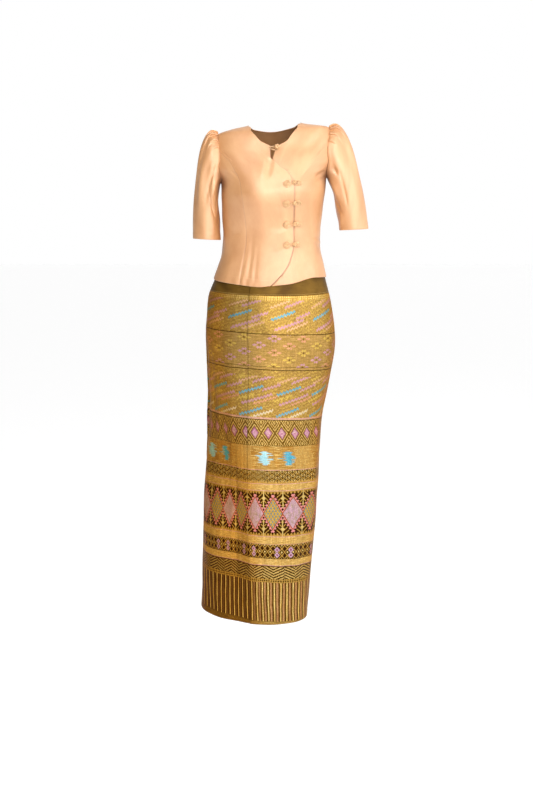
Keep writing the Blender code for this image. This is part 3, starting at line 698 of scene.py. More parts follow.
def front_panels(finish):
    """Two fronts, each a side panel and a centre panel that meet at a princess seam. Their edges are made
    from the side inward, and a step of -side turns them round for the wearer's left."""
    for name, side, shown, columns, princess, neckline, opening, side_hem, centre_hem in FRONTS:
        corner = (side * QUARTER, SIDE_HEM)
        seam = curve(np.vstack([on_front(princess), armhole(side, PRINCESS_START)]), SEAM_ROWS)
        upper = armhole(side, np.linspace(PRINCESS_START, 0, ARMHOLE_ROWS + 1))
        side_seam = curve([corner, (side * QUARTER, ARMHOLE_END)], SEAM_ROWS)
        shoulder = curve([(side * QUARTER, ARMHOLE_TOP), (side * QUARTER, NECK_POINT)], SHOULDER_COLUMNS)
        lower = armhole(side, HALF_TURN + (PRINCESS_START - HALF_TURN) * crowded(columns))
        hem = curve(np.vstack([corner, on_front(side_hem), seam[:1]]), columns)
        edges = (*(side_seam, seam)[::-side], hem[::-side], lower[::-side])
        shares = (*(1, shown)[::-side], 1, 1)
        blouse_panel(f"blouse_front_{name}_side", edges, finish, (0, 0, 1, 0), shares, under=side > 0)
        neck = curve(np.vstack([shoulder[-1:], on_front(neckline)]), NECK_COLUMNS)
        edge = curve(np.vstack([on_front(opening), neck[-1:]]), SEAM_ROWS + ARMHOLE_ROWS)
        hem = curve(np.vstack([seam[:1], on_front(centre_hem), edge[:1]]), SHOULDER_COLUMNS + NECK_COLUMNS)
        top = joined(shoulder, neck)
        edges = (*(joined(seam, upper), edge)[::-side], hem[::-side], top[::-side])
        free, shares = (*(0, 1)[::-side], 1, 1), (*(shown, 1)[::-side], 1, 1)
        blouse_panel(f"blouse_front_{name}_centre", edges, finish, free, shares, side < 0, side > 0)


def back_panel(finish):
    """One back panel from side seam to side seam, angles from a quarter to three quarters of a turn."""
    mirror, whole_turn, far = (-1, 1), (2 * HALF_TURN, 0), 3 * QUARTER
    left = joined(
        curve([(QUARTER, SIDE_HEM), (QUARTER, ARMHOLE_END)], SEAM_ROWS - ARMHOLE_ROWS),
        armhole(1, HALF_TURN + HALF_TURN * crowded(2 * ARMHOLE_ROWS)),
    )
    columns = BACK_NECK_COLUMNS + 2 * SHOULDER_COLUMNS
    hem = curve([(QUARTER, SIDE_HEM), (HALF_TURN, BACK_HEM), (far, SIDE_HEM)], columns)
    shoulder = curve([(QUARTER, ARMHOLE_TOP), (QUARTER, NECK_POINT)], SHOULDER_COLUMNS)
    neck = on_front(BACK_NECK) * mirror + (HALF_TURN, 0)
    neck = curve(np.vstack([shoulder[-1:], neck, [(far, NECK_POINT)]]), BACK_NECK_COLUMNS)
    top = joined(shoulder, neck, shoulder[::-1] * mirror + whole_turn)
    blouse_panel("blouse_back", (left, left * mirror + whole_turn, hem, top), finish)


def between(top, middle, under, around):
    """A size that goes from its value at the sleeve's top, through the middle, to the underside."""
    lean = np.cos(around)
    return middle + (top - under) / 2 * lean + ((top + under) / 2 - middle) * lean**2


def sleeve_point(side, cuff, half_width, half_depth, lean, around, along):
    """A point of the sleeve, with along 0 at the armhole and 1 at the cuff."""
    forward = -PUFF_FORWARD * np.sin(around)
    leave = np.stack([side * between(*PUFF_OUT, around), forward, between(*PUFF_UP, around)], axis=-1)
    start = figure(*np.moveaxis(armhole(side, around), -1, 0)) - SLEEVE_TUCK * unit(leave)
    out = half_width * np.cos(around)
    end = np.stack([side * out, -half_depth * np.sin(around), CUFF_TILT * out], axis=-1) + cuff
    handle = between(*CUFF_HANDLE, around)
    arrive = np.stack([-side * lean * handle, 0 * handle, handle], axis=-1)
    along, rest = along[..., None], 1 - along[..., None]
    return (
        rest**3 * start
        + 3 * rest**2 * along * (start + leave)
        + 3 * rest * along**2 * (end + arrive)
        + along**3 * end
    )


def pleated(around, along):
    """How high the knife pleats of the sleeve head stand here."""
    away = np.abs(nearest_turn(around))
    height = 0
    for crest, depth, reach in PLEATS:
        gap = away - math.radians(crest)
        ramp = np.clip(1 + gap / PLEAT_RUN, 0, 1) ** PLEAT_POWER * (gap <= 0)
        drop = np.clip(1 - gap / PLEAT_DROP, 0, 1) * (gap > 0)
        height = height + depth * (ramp + drop) * (1 - eased(along, PLEAT_FADES, reach))
    return height * eased(along, 0, PLEAT_FULL)


def sleeve(finish, name, side, *arm):
    """A puffed sleeve from the armhole to an open cuff, pleated at its head and folded down its length."""
    point = partial(sleeve_point, side, *arm)
    around = np.linspace(-HALF_TURN, HALF_TURN, SLEEVE_AROUND, endpoint=False)
    around = around - SHOULDER_CROWD * np.sin(around)
    around, along = np.meshgrid(around[::side], crowded(SLEEVE_ALONG, ROW_CROWD))
    reach = 0.002
    by_around = point(around + reach, along) - point(around - reach, along)
    inside = np.clip(along, reach, 1 - reach)
    by_along = point(around, inside + reach) - point(around, inside - reach)
    out = side * unit(np.cross(by_around, by_along))
    base = point(around, along)
    from_seam = running(base)
    to_cuff = from_seam[-1:] - from_seam
    pleat = pleated(around, along)
    height = pleat + creased(np.degrees(around), along, SLEEVE_FOLDS[name], SLEEVE_STRETCH, 360)
    height += rolling(around, along, SLEEVE_WAVES) * eased(along, 0, UNEVEN_FULL)
    height += turned_up(to_cuff, CUFF_DEPTH) - ROLL_DEPTH * near(to_cuff, ROLL_WIDTH)
    onward = unit(by_around) * np.where(np.sin(around) < 0, -1, 1)[..., None]
    outer = base + height[..., None] * out + (PLEAT_LEAN * pleat)[..., None] * onward
    inner = outer - BLOUSE_CLOTH * out
    ring = ring_of(outer)
    place = (running(ring, 1), running(ring))
    below = eased(-np.cos(around), *SLEEVE_UNDERSIDE)
    # Painted shade: a line at the armhole seam, and a wider painted shade on the sleeve's underside near it
    seam = np.maximum(near(from_seam, SEAM_SHADE), below * near(from_seam, ARMHOLE_REACH))
    piece = shell("cloth_sleeve_" + name, outer, inner, *place, seam, finish, closed=True)
    stands_for(piece, "blouse_sleeve_" + name)


def share_around(angle, level):
    """How far round the skirt each point lies at its level, as a share of the whole turn from the front."""
    full = np.linspace(-HALF_TURN, HALF_TURN, 361)
    turns = np.floor((angle + HALF_TURN) / (2 * HALF_TURN))
    share = np.empty(angle.shape)
    for row, rest in enumerate(angle - 2 * HALF_TURN * turns):
        run = running(figure(full, np.full(full.shape, level[row, 0])))
        share[row] = (np.interp(rest, full, run) - np.interp(0, full, run)) / run[-1]
    return turns + share


def skirt_strip(name, top, bottom, rows, finish, hemmed=False):
    """One length of cloth wrapped round the figure, its outer end lapped over its inner end."""
    angle = WRAP_EDGE + (WRAP_UNDER - WRAP_EDGE) * crowded(SKIRT_AROUND, WRAP_CROWD)
    angle, level = np.meshgrid(angle, bottom + (top - bottom) * crowded(rows, ROW_CROWD))
    flat = figure(angle, level)
    offset = through(EASE, level)[..., 1] + WRAP_LAP * (1 - eased(angle, WRAP_LIFT_FULL, WRAP_LIFT_END))
    offset += creased(np.degrees(angle), level, SKIRT_FOLDS, SKIRT_STRETCH, 360)
    offset += rolling(angle, level, SKIRT_WAVES)
    line, fall = np.moveaxis(through(TURNED, level), -1, 0)
    beyond = np.where(flat[..., 1] < flat[..., 1].mean() + TURNED_BACK, line - flat[..., 0], 0)
    offset -= fall * eased(beyond, 0, TURNED_FALL) * (1 - eased(beyond, TURNED_FALL, TURNED_END))
    left, right, low, high = from_edges(flat)
    offset -= ROLL_DEPTH * (near(left, ROLL_WIDTH) + near(right, ROLL_WIDTH))
    offset -= SKIRT_SEAM_DEPTH * near(high, SEAM_WIDTH)
    if hemmed:
        offset += turned_up(low, SKIRT_HEM_DEPTH) - ROLL_DEPTH * near(low, ROLL_WIDTH)
    else:
        offset -= SKIRT_SEAM_DEPTH * near(low, SEAM_WIDTH)
    shift = SHIFT_FRONT + SHIFT_SIDE * eased(np.abs(nearest_turn(angle)), 0, SHIFT_AT)
    across = share_around(angle, level) * CLOTH_AROUND - shift * eased(-level, *SHIFT_LEVELS)
    down = -level - TILT * np.sin(angle - TILT_START) * eased(-level, *TILT_LEVELS)
    # Painted shade line along the wrap's outer edge
    seam = WRAP_SHADE * near(left, SEAM_SHADE)
    hang(name, finish, angle, level, flat, offset, SKIRT_CLOTH, across, down, seam)


def spots_on(across, level, height):
    """Points at a height over the blouse's face, at these distances across and levels."""
    angle = on_front(np.stack([across, level], axis=-1))[..., 0]
    height = height + through(EASE, level)[..., 0] - folds(angle, level)
    height = height + creased(across, level, FRONT_CREASES) + rolling(across, level, BLOUSE_WAVES)
    return figure(angle, level) + height[..., None] * outward(angle, level)


def over_lap(across, start, end):
    """The height of a cord's middle as it comes down from the lap between two distances across."""
    return CORD + LAP * (1 - eased(across, start, end))


def on_circle(centre, radius, turn):
    return (centre[0] + radius * np.cos(turn), centre[1] + radius * np.sin(turn))


def coiled(number, part, centre, radius, dome, on_lap, rest, edge, finish):
    """A part of a frog that starts as a tight flat spiral of cord, wound from its middle outward, and goes on
    along the rest of its path; a thin, fully darkened cord round its lower left paints the shadow it casts."""
    way = 1 if on_lap else -1
    size = np.linspace(COIL_START * CORD, radius - CORD, COIL_POINTS)
    turn = way * (HALF_TURN * (size - size[-1]) / CORD / COIL_GAP - QUARTER)
    across, level = np.hstack([on_circle(centre, size, turn), rest])
    rise = 0 if on_lap else LOOP_RISE
    path = spots_on(across, level, rise + over_lap(across, *(edge + at for at in EDGE_FALL)))
    path[:COIL_POINTS, 1] -= dome * (1 - np.linspace(0, 1, COIL_POINTS) ** 2)
    # Painted shadow: a fully shaded dark cord round the lower left stands for the shadow the coil casts
    under = spots_on(*on_circle(centre, radius, np.linspace(*SHADOW_CORD_BEND, 40)), SHADOW_CORD_RISE + LAP * on_lap)
    piece = tube(f"frog_{number}_{part}_cord", (path, under), (CORD, SHADOW_CORD_RADIUS), finish, (0, 1))
    stands_for(piece, f"frog_{number}_{part}")


def knotted(number, across, level, radius, base, finish):
    """A knotted ball that rests on the cloth: its cord winds over and under itself round a smooth core."""
    middle = spots_on(np.array([across]), np.array([level]), base + radius)[0]
    cord = BALL_CORD * radius
    turn = np.linspace(0, 2 * HALF_TURN, 260)
    rise = BALL_SWING * np.sin(BALL_SWINGS * turn)
    lie = BALL_TURNS * turn
    size = radius - cord + BALL_CROSSING * cord * np.cos(BALL_SWINGS * lie)
    flat = size * np.cos(rise)
    path = np.stack([flat * np.cos(lie), size * np.sin(rise), flat * np.sin(lie)], axis=-1) + middle
    core = np.array([(0, 0, height) for height in CORE_HEIGHTS]) * radius + middle
    piece = tube(f"frog_{number}_knot", (path, core), (cord, BALL_CORE * radius), finish)
    stands_for(piece, f"frog_{number}_ball")


def frog(number, across, level, coil_away, loop_away, finish):
    """A coil with its cord to the lap's edge, the knotted ball there, and the loop that holds it."""
    centre = across - coil_away
    part = np.linspace(0, 1, 30)[1:]
    drop = (COIL_RADIUS - CORD) * (1 - eased(part, 0, 0.9))
    tail = (centre + (across - TAIL_END - centre) * part, level - drop)
    coiled(number, "coil", (centre, level), COIL_RADIUS, COIL_DOME, True, tail, across, finish)
    knotted(number, across, level, BALL_RADIUS, BALL_RISE, finish)
    centre = across + loop_away
    ring, top = LOOP_HOLD * BALL_RADIUS, LOOP_RADIUS - CORD
    part = np.linspace(0, 1, 14)[1:-1]
    run_in = (centre + (across - centre) * part, level + top + (ring - top) * eased(part, 0, 1))
    around = on_circle((across, level), ring, np.linspace(QUARTER, 3 * QUARTER, 40))
    run_out = (across + (centre - LOOP_END - across) * part, level - ring + (ring - top) * part)
    rest = np.hstack([run_in, around, run_out])
    coiled(number, "loop", (centre, level), LOOP_RADIUS, LOOP_DOME, False, rest, across, finish)


def neck_fastening(finish):
    """The ball at the neck, and the loop that comes out from the right front's edge and holds it."""
    knotted(1, *NECK_BALL, NECK_BALL_RADIUS, NECK_BALL_RISE, finish)
    bend = np.linspace(NECK_BEND, -NECK_BEND, 50)
    ring = np.stack(on_circle(NECK_BALL, NECK_HOLD * NECK_BALL_RADIUS, bend), axis=-1)
    part = np.linspace(0, 1, 16)[:-1, None]
    upper, lower = np.array(NECK_LOOP_STARTS)
    path = np.vstack([upper + (ring[0] - upper) * part, ring, ring[-1] + (lower - ring[-1]) * part[1:]])
    across, level = path.T
    path = spots_on(across, level, LOOP_RISE + over_lap(across, *NECK_LOOP_FALL))
    stands_for(tube("frog_1_loop_cord", (path,), (CORD,), finish), "frog_1_loop")


def dye(red, green, blue):
    """The linear colour of these values out of 255."""
    parts = (value / 255 for value in (red, green, blue))
    return (*(part / 12.92 if part < 0.04 else ((part + 0.055) / 1.055) ** 2.4 for part in parts), 1)


OLIVE, TAN, KHAKI, SAND = dye(146, 112, 52), dye(186, 150, 84), dye(154, 121, 60), dye(190, 154, 92)
DULL_GOLD, SOFT_GOLD, HEM_BROWN = dye(180, 138, 68), dye(218, 182, 108), dye(106, 78, 36)
GOLD, PALE_GOLD, AMBER = dye(206, 162, 78), dye(236, 206, 128), dye(170, 120, 50)
BROWN, DEEP = dye(72, 42, 10), dye(38, 20, 5)
LILAC, SALMON, PEACH, ROSE = dye(204, 150, 176), dye(222, 156, 130), dye(230, 180, 148), dye(206, 158, 144)
BLUE, CYAN, CREAM, YELLOW = dye(66, 174, 208), dye(164, 222, 240), dye(236, 222, 196), dye(222, 190, 92)
RUST, SLATE, VIOLET, PLUM = dye(158, 74, 34), dye(116, 134, 142), dye(176, 120, 146), dye(132, 62, 92)
PINK_DEEP, PINK_TOOTH = dye(156, 82, 108), dye(222, 144, 142)
LILAC_BRIGHT, LILAC_GREY, GREEN_GOLD = dye(196, 158, 178), dye(180, 150, 156), dye(156, 138, 72)
COPPER, COPPER_LIGHT, STRIPE_GROUND = dye(158, 108, 62), dye(198, 152, 102), dye(116, 86, 40)
DEEP_LINE, BROWN_LINE, EDGE_TINT = dye(52, 32, 10), dye(90, 58, 20), dye(196, 160, 104)
SATIN_DEEP, SATIN_BRIGHT, SATIN_LIGHT = dye(182, 123, 66), dye(198, 144, 91), dye(217, 175, 131)
SATIN_SHADE, CORD_DEEP, CORD_BRIGHT = dye(112, 60, 22), dye(182, 132, 76), dye(206, 162, 107)
BAND_DEEP, BAND_BRIGHT, BAND_LIGHT = dye(74, 50, 14), dye(104, 76, 26), dye(134, 104, 46)

# What the brocade's colours are multiplied by: in its painted sheen streaks, at flecks, in the painted shade
# round from the front, all over
SHEEN_TINT, FLECK = (1.28, 1.28, 1.24, 1), (1.4, 1.4, 1.4, 1)
ROUND_SHADE, WHOLE_TONE = (0.98, 0.76, 0.44, 1), (0.74, 0.72, 0.68, 1)

# In millimetres: the length that repeats divide, and the clouds' repeat
AROUND_MM, CLOUDS = 1000 * CLOTH_AROUND, 96


def feed(tree, value, socket):
    """Gives a node's input a value, or links it to a field or the output of a node."""
    value = getattr(value, "socket", value)
    if isinstance(value, bpy.types.NodeSocket):
        tree.links.new(value, socket)
    else:
        socket.default_value = value


def new_node(tree, kind, inputs, **settings):
    """A new node with these settings, whose inputs are given by their names or numbers."""
    made = tree.nodes.new("ShaderNode" + kind)
    for name, value in settings.items():
        setattr(made, name, value)
    for place, value in inputs.items():
        feed(tree, value, made.inputs[place])
    return made


class Field:
    """A value that varies over the cloth, worked out by math nodes."""

    def __init__(self, tree, socket):
        self.tree, self.socket = tree, socket

    def by(self, operation, *others):
        node = new_node(self.tree, "Math", dict(enumerate((self, *others))), operation=operation)
        return Field(self.tree, node.outputs[0])

    __add__ = partialmethod(by, "ADD")
    __sub__ = partialmethod(by, "SUBTRACT")
    __mul__ = partialmethod(by, "MULTIPLY")
    __truediv__ = partialmethod(by, "DIVIDE")
    __abs__ = partialmethod(by, "ABSOLUTE")
    __lt__ = partialmethod(by, "LESS_THAN")
    __gt__ = partialmethod(by, "GREATER_THAN")
    floor = partialmethod(by, "FLOOR")
    sine = partialmethod(by, "SINE")
    most = partialmethod(by, "MAXIMUM")
    least = partialmethod(by, "MINIMUM")

    def squared(self):
        return self.by("POWER", 2)

    def around(self, centre, period):
        """How far past the nearest of the repeats of a centre."""
        return (self - centre).by("WRAP", period / 2, -period / 2)

    def past(self, start, period):
        """How far past the last of the repeats of a start."""
        return (self - start).by("WRAP", period, 0)

    def off(self, centre, period):
        """Distance from the nearest of the repeats of a centre."""
        return abs(self.around(centre, period))

    def within(self, low, high):
        return (self > low) * (self < high)

    def ramp(self, low, high):
        """0 below low, 1 above high, even between."""
        node = new_node(self.tree, "MapRange", {"Value": self, "From Min": low, "From Max": high})
        return Field(self.tree, node.outputs["Result"])


class Finish:
    """A material in the making: where it is on the cloth, in millimetres, and its nodes."""

    def __init__(self, name):
        self.material = bpy.data.materials.new(name)
        self.material.use_nodes = True
        self.tree = self.material.node_tree
        place = new_node(self.tree, "UVMap", {}, uv_map="Cloth")
        parts = new_node(self.tree, "SeparateXYZ", {"Vector": place.outputs["UV"]})
        self.across = Field(self.tree, parts.outputs["X"]) * 1000
        self.down = Field(self.tree, parts.outputs["Y"]) * 1000
        # The mesh's painted shade, at seams, edges, round the underarm and under the cords
        seam = new_node(self.tree, "Attribute", {}, attribute_name="Seam")
        self.seam = Field(self.tree, seam.outputs["Fac"])

    def read(self, kind, output, across, down, **inputs):
        """A texture of the cloth's plane, read at a place in its own units."""
        vector = new_node(self.tree, "CombineXYZ", {"X": across, "Y": down}).outputs["Vector"]
        node = new_node(self.tree, kind, {"Vector": vector, **inputs}, noise_dimensions="2D")
        return Field(self.tree, node.outputs[output])

    def noise(self, across, down, detail=2):
        return self.read("TexNoise", "Fac", across, down, Scale=1, Detail=detail)

    def speckle(self, across, down):
        """A random value for each cell of one unit."""
        return self.read("TexWhiteNoise", "Value", across.floor(), down.floor())

    def mix(self, share, first, second, blend="MIX"):
        """A colour between two, each of them a colour or the output of a node."""
        inputs = {0: share, 6: first, 7: second}
        return new_node(self.tree, "Mix", inputs, data_type="RGBA", blend_type=blend).outputs[2]

    def finished(self, colour, height, depth, roughness, rough_by=0.12, shade=DEEP, **settings):
        """Sets the shader. Height is from 0 to 1 over a depth in millimetres."""
        bump = {"Distance": depth / 1000, "Strength": 1, "Height": height}
        rough = self.noise(self.across * 0.05, self.down * 0.05) * rough_by + (roughness - rough_by / 2)
        # Painted shade: the base colour is darkened toward the shade colour where the mesh's painted shade is
        # set
        settings |= {
            "Base Color": self.mix(self.seam * 0.7, colour, shade),
            "Normal": new_node(self.tree, "Bump", bump).outputs["Normal"],
            "Roughness": rough,
        }
        for name, value in settings.items():
            feed(self.tree, value, self.tree.nodes["Principled BSDF"].inputs[name.replace("_", " ")])
        return self.material


def satin(name, gloss, deep, bright):
    """Gold satin: long warp floats with a soft shine, and slow changes of tone."""
    cloth = Finish(name)
    u, v = cloth.across, cloth.down
    slow = cloth.noise(u * 0.018, v * 0.012, 3)
    thread = cloth.noise(u * 2.2, v * 0.10, 3)
    slub = cloth.noise(u * 0.05 + 40, v * 1.6)
    colour = cloth.mix(slow.ramp(0.3, 0.7), deep, bright)
    colour = cloth.mix(thread.ramp(0.35, 0.75) * 0.16, colour, SATIN_LIGHT)
    colour = cloth.mix(slub.ramp(0.55, 0.8) * 0.12, colour, deep)
    floats = (u * 7.5).sine() * 0.18 + (v * 3.7 + u * 3.1).sine() * 0.12
    height = thread * 0.8 + slub * 0.35 + floats
    shine = {"Metallic": 0.1, "Specular_IOR_Level": 0.9, "Anisotropic": 0.3}
    coat = {"Coat_Weight": 0.6, "Coat_Roughness": 0.6, "Coat_IOR": 2.0}
    return cloth.finished(colour, height, 0.05, 0.50 - gloss, 0.10, SATIN_SHADE, **shine, **coat)


def olive_twill():
    """The plain waistband: a fine twill with thicker threads here and there."""
    cloth = Finish("waistband")
    u, v = cloth.across, cloth.down
    twill = ((u * 1.1 + v * 1.1) * 2.4).sine() * 0.5 + 0.5
    slub = cloth.noise(u * 0.03, v * 1.1, 3)
    slow = cloth.noise(u * 0.02, v * 0.03, 3)
    colour = cloth.mix(slow.ramp(0.3, 0.7), BAND_DEEP, BAND_BRIGHT)
    colour = cloth.mix(slub.ramp(0.45, 0.8) * 0.3, colour, BAND_LIGHT)
    colour = cloth.mix(twill * 0.18, colour, BAND_DEEP)
    stitch = (abs(v - 427.5) < 0.45) * (u.past(0, 3.4) < 2.3)
    colour = cloth.mix(stitch * 0.7, colour, TAN)
    height = twill * 0.5 + slub * 0.5 + stitch
    return cloth.finished(colour, height, 0.12, 0.5, Metallic=0.25, Specular_IOR_Level=0.1)


class Brocade(Finish):
    """A woven band pattern, painted band by band on the grid of its threads."""

    def __init__(self, name, stray):
        super().__init__(name)
        across, down = self.across, self.down
        stray_across = self.noise(across * 0.02, down * 0.05) - 0.5
        stray_down = self.noise(across * 0.025 + 9, down * 0.02) - 0.5
        self.u = (across + stray_across * 3 * stray).by("SNAP", WARP) + WARP / 2
        self.v = (down + stray_down * 2.4 * stray).by("SNAP", WEFT) + WEFT / 2
        fine = self.speckle(across / WARP, down / WEFT)
        self.random = fine * 0.4 + self.speckle(across / 2.9, down / 2.1) * 0.6
        # Painted shade: how far the cloth is round from its lit front, where its colour is painted deeper and
        # warmer as if in shade; further down it starts nearer
        uneven = self.noise(across / 30, down / 120) * 20
        self.painted_shade = (across.off(30, AROUND_MM) + uneven + down.ramp(600, 900) * 62).ramp(122, 180)

    def paint(self, ground, mark, colour, least, spread):
        """Paints a mark over the ground, from thread to thread with a strength of least up to spread more."""
        return self.mix(mark * (self.random * spread + least), ground, colour)

    def over(self, ground, *layers):
        """The ground with layers over it in turn, each given by where it shows and its colour."""
        for share, colour in layers:
            ground = self.mix(share, ground, colour)
        return ground

    def mottled(self, low, high, share=1.0):
        return self.mix(self.random if share == 1 else self.random * share, low, high)

    def flecked(self, low, high, slope=0.0, streak=9.0):
        """Ground threads in two tones, flecked along a slope."""
        fleck = self.noise(self.u / streak, (self.v + self.u * slope) / 2.1) + self.random * 0.3 - 0.15
        return self.mix(fleck.ramp(0.3, 0.7), low, high)

    def strokes(self, ground, start, across, rows, top=0):
        """Slanting strokes on a drop repeat. Each row: how far right and down of the first one it starts,
        its length, half its thickness, its colour and its repeat down."""
        for right, lower, length, thick, colour, repeat in rows:
            x = self.u.past(start[0] + right, across)
            y = (self.v + x * STROKE_SLOPE).around(start[1] + lower, repeat)
            tooth = (self.u.off(0, 8.0) - 2) * 1.15
            body = (abs(y + tooth) < thick) * (x < length) * (self.v > top)
            ground = self.paint(ground, body, colour, 0.35, 0.7)
        return ground

    def woven(self, bands):
        """The finish made of bands, each given by where it starts and its colour."""
        (_, colour), *others = bands
        colour = self.over(colour, *((self.v > top, band) for top, band in others))
        # Painted sheen: pale streaks down the cloth that brighten its colour like a lustre
        painted_sheen = self.noise(self.u / 2.2, self.v / 90).ramp(0.5, 0.8)
        colour = self.mix(painted_sheen, colour, SHEEN_TINT, "MULTIPLY")
        flecks = self.speckle(self.u / WARP + 7, self.v / WEFT)
        colour = self.mix(flecks > 0.7, colour, FLECK, "MULTIPLY")
        colour = self.mix(self.random * 0.3, colour, DEEP)
        # Painted shade: deeper, warmer colour away from the lit front
        colour = self.mix(self.painted_shade, colour, ROUND_SHADE, "MULTIPLY")
        colour = self.mix(1.0, colour, WHOLE_TONE, "MULTIPLY")
        raised = Field(self.tree, new_node(self.tree, "RGBToBW", {0: colour}).outputs[0])
        thread = (self.across * (2 * HALF_TURN / WARP)).sine() * (self.down * (HALF_TURN / WEFT)).sine()
        height = raised * 0.9 + thread * 0.22 + self.random * 0.25
        shine = {"Metallic": 0.55, "Specular_IOR_Level": 0.06, "Specular_Tint": EDGE_TINT}
        return self.finished(colour, height, 0.16, 0.38, **shine)


def lozenges(cloth):
    """A plain cloth with dots on a slanting grid, and the same with broken lozenges, coloured by turns."""
    across = cloth.u - 8
    column = (across / 36 + 0.5).floor()
    down = cloth.v - 536 + column * 17.5
    row = (down / 35 + 0.5).floor()
    x, y = abs(across - column * 36), abs(down - row * 35)
    plain = cloth.mix(((x / 2.6 + y / 2.4) < 1) * 0.7, cloth.flecked(KHAKI, SAND, 0, 22), BROWN)
    third = row.by("WRAP", 3, 0)
    petal = cloth.mix(third > 1.5, cloth.mix(third > 0.5, LILAC, SALMON), YELLOW)
    wide = abs(x - 11) / 6.4 + y / 3.4
    tall = abs(x - 3.2) / 3.8 + abs(y - 5.6) / 3.6
    return plain, cloth.paint(plain, (wide < 1).most(tall < 1), petal, 0.5, 0.4)


def brocade_body():
    """The body cloth: dots at the top, two fields of slanting strokes and a field of lozenges between."""
    cloth = Brocade("brocade_body", 0.6)
    u, v = cloth.u, cloth.v
    dots = (u.off(0, 5.4) < 1.2) * (v.off(433.5, 4.2) < 1.2)
    dotted = cloth.mix(dots, cloth.flecked(OLIVE, GOLD, 0, 3), PALE_GOLD)
    flecked = cloth.flecked(OLIVE, TAN, STROKE_SLOPE, 7)
    wavy = v + u * STROKE_SLOPE + u.off(0, 8.0) * 1.15
    dashes = (wavy.off(3, 9.15) < 2.1) * cloth.noise(u / 9, v / 5 + 5).ramp(0.35, 0.6)
    flecked = cloth.paint(flecked, dashes, YELLOW, 0.1, 0.8)
    upper = (
        (0, 0, 62, 2.8, BLUE, 110),
        (-1, -30, 54, 2.3, PEACH, 110),
        (35, -31, 52, 2.8, LILAC, 110),
        (8, 25, 74, 3.0, LILAC, 110),
        (37, 25, 56, 2.2, PEACH, 110),
        (62, -4, 40, 2.8, LILAC, 110),
    )
    lower = (
        (0, 0, 62, 2.9, BLUE, 55),
        (-1, -30, 60, 2.4, PEACH, 110),
        (35, -31, 54, 2.9, LILAC, 110),
        (8, 25, 78, 2.8, LILAC, 110),
        (37, 25, 60, 2.2, SALMON, 110),
        (60, -12, 44, 2.6, LILAC, 110),
        (33, 58, 56, 2.3, CREAM, 110),
        (-6, 16, 46, 2.2, YELLOW, 55),
    )
    plain, marked = lozenges(cloth)
    bands = (
        (0, dotted),
        (442, cloth.strokes(flecked, (-106, 490), 108, upper)),
        (525, DEEP_LINE),
        (526.3, marked),
        (606.4, DEEP_LINE),
        (607.8, plain),
        (614.0, DEEP_LINE),
        (615.2, cloth.strokes(flecked, (-77, 678), 96, lower, 631)),
        (735.6, ROSE),
        (738.8, cloth.mottled(TAN, ROSE, 0.6)),
        (740.6, DEEP_LINE),
    )
    return cloth.woven(bands)


def lattice_band(cloth):
    """Pink diamonds in nested gold outlines."""
    y = abs(cloth.v - 775)
    ring = cloth.u.off(-2, 35) / 9.4 + y / 14
    other = cloth.u.off(15.5, 35) / 9.4 + abs(y - 27) / 14
    lines = ring.least(other).past(0.12, 0.62) < (cloth.random * 0.1 + 0.22)
    ground = cloth.paint(cloth.mottled(BROWN, OLIVE), lines, cloth.mottled(GOLD, PALE_GOLD), 0.6, 0.4)
    light, dark = (cloth.random > 0.72) * 0.6, (cloth.random < 0.3) * 0.6
    inside = cloth.over(VIOLET, (ring.within(0.25, 0.7), LILAC), (light, CREAM), (dark, PINK_DEEP))
    return cloth.over(ground, (ring < 0.98, inside), ((ring < 1.12) * (ring > 0.98) * 0.8, PINK_DEEP))


def clouds(cloth):
    """Cyan and blue clouds with streaked sides on an amber ground."""
    u = cloth.u - (cloth.u > AROUND_MM / 2) * AROUND_MM
    lines = cloth.noise(cloth.u / 30, cloth.v / 1.4)
    ground = cloth.over(AMBER, (lines.ramp(0.35, 0.65), TAN), ((lines > 0.6) * 0.6, PALE_GOLD))
    grid = (cloth.u.past(0, 3.6) < 1.2).most(cloth.v.past(0, 3.0) < 1)
    overlay = cloth.paint(AMBER, grid, PALE_GOLD, 0.3, 0.7)
    ground = cloth.mix((u.off(-78, 162) < 25) * 0.8, ground, overlay)
    level = (cloth.v - 839) / 18
    for centre, colour in ((-16, CYAN), (44, BLUE)):
        x = (u + 2 * CLOUDS).around(centre + 2 * CLOUDS, 2 * CLOUDS)
        row = cloth.speckle((x > 0) + centre, cloth.v / 1.9)
        reach = (level.squared() * -1 + 1.1) * row.squared() * 20 + 8
        body = ((reach - abs(x)) / 5).ramp(0, 1) * (abs(level) < 0.97)
        ground = cloth.paint(ground, body, colour, 0.75, 0.25)
    return ground


def stripe(cloth):
    """A plain gold stripe with fine threads both ways."""
    ground = cloth.mix(cloth.noise(cloth.u / 14, cloth.v / 1.6).ramp(0.42, 0.6), DULL_GOLD, SOFT_GOLD)
    return cloth.mix((cloth.u.past(0, 3.6) < 1.3) * cloth.random * 0.7, ground, PALE_GOLD)


def zigzags(cloth):
    """Nested zigzags and rows of small triangles."""
    u, v = cloth.u, cloth.v
    slanted = v + u.off(0, 25) * 1.25
    ground = cloth.paint(cloth.mottled(DEEP, BROWN), slanted.off(870, 12.4) < 1.9, GOLD, 0.4, 0.6)
    dots = (slanted.off(876.2, 12.4) / 2.6 + u.off(3.1, 6.25) / 2.7) < 1
    ground = cloth.paint(ground, dots, PALE_GOLD, 0.7, 0.3)
    teeth = (u.off(0, 8) < ((v - 895) * 0.5)) * (v > 895)
    return cloth.paint(ground, teeth, GOLD, 0.6, 0.3)


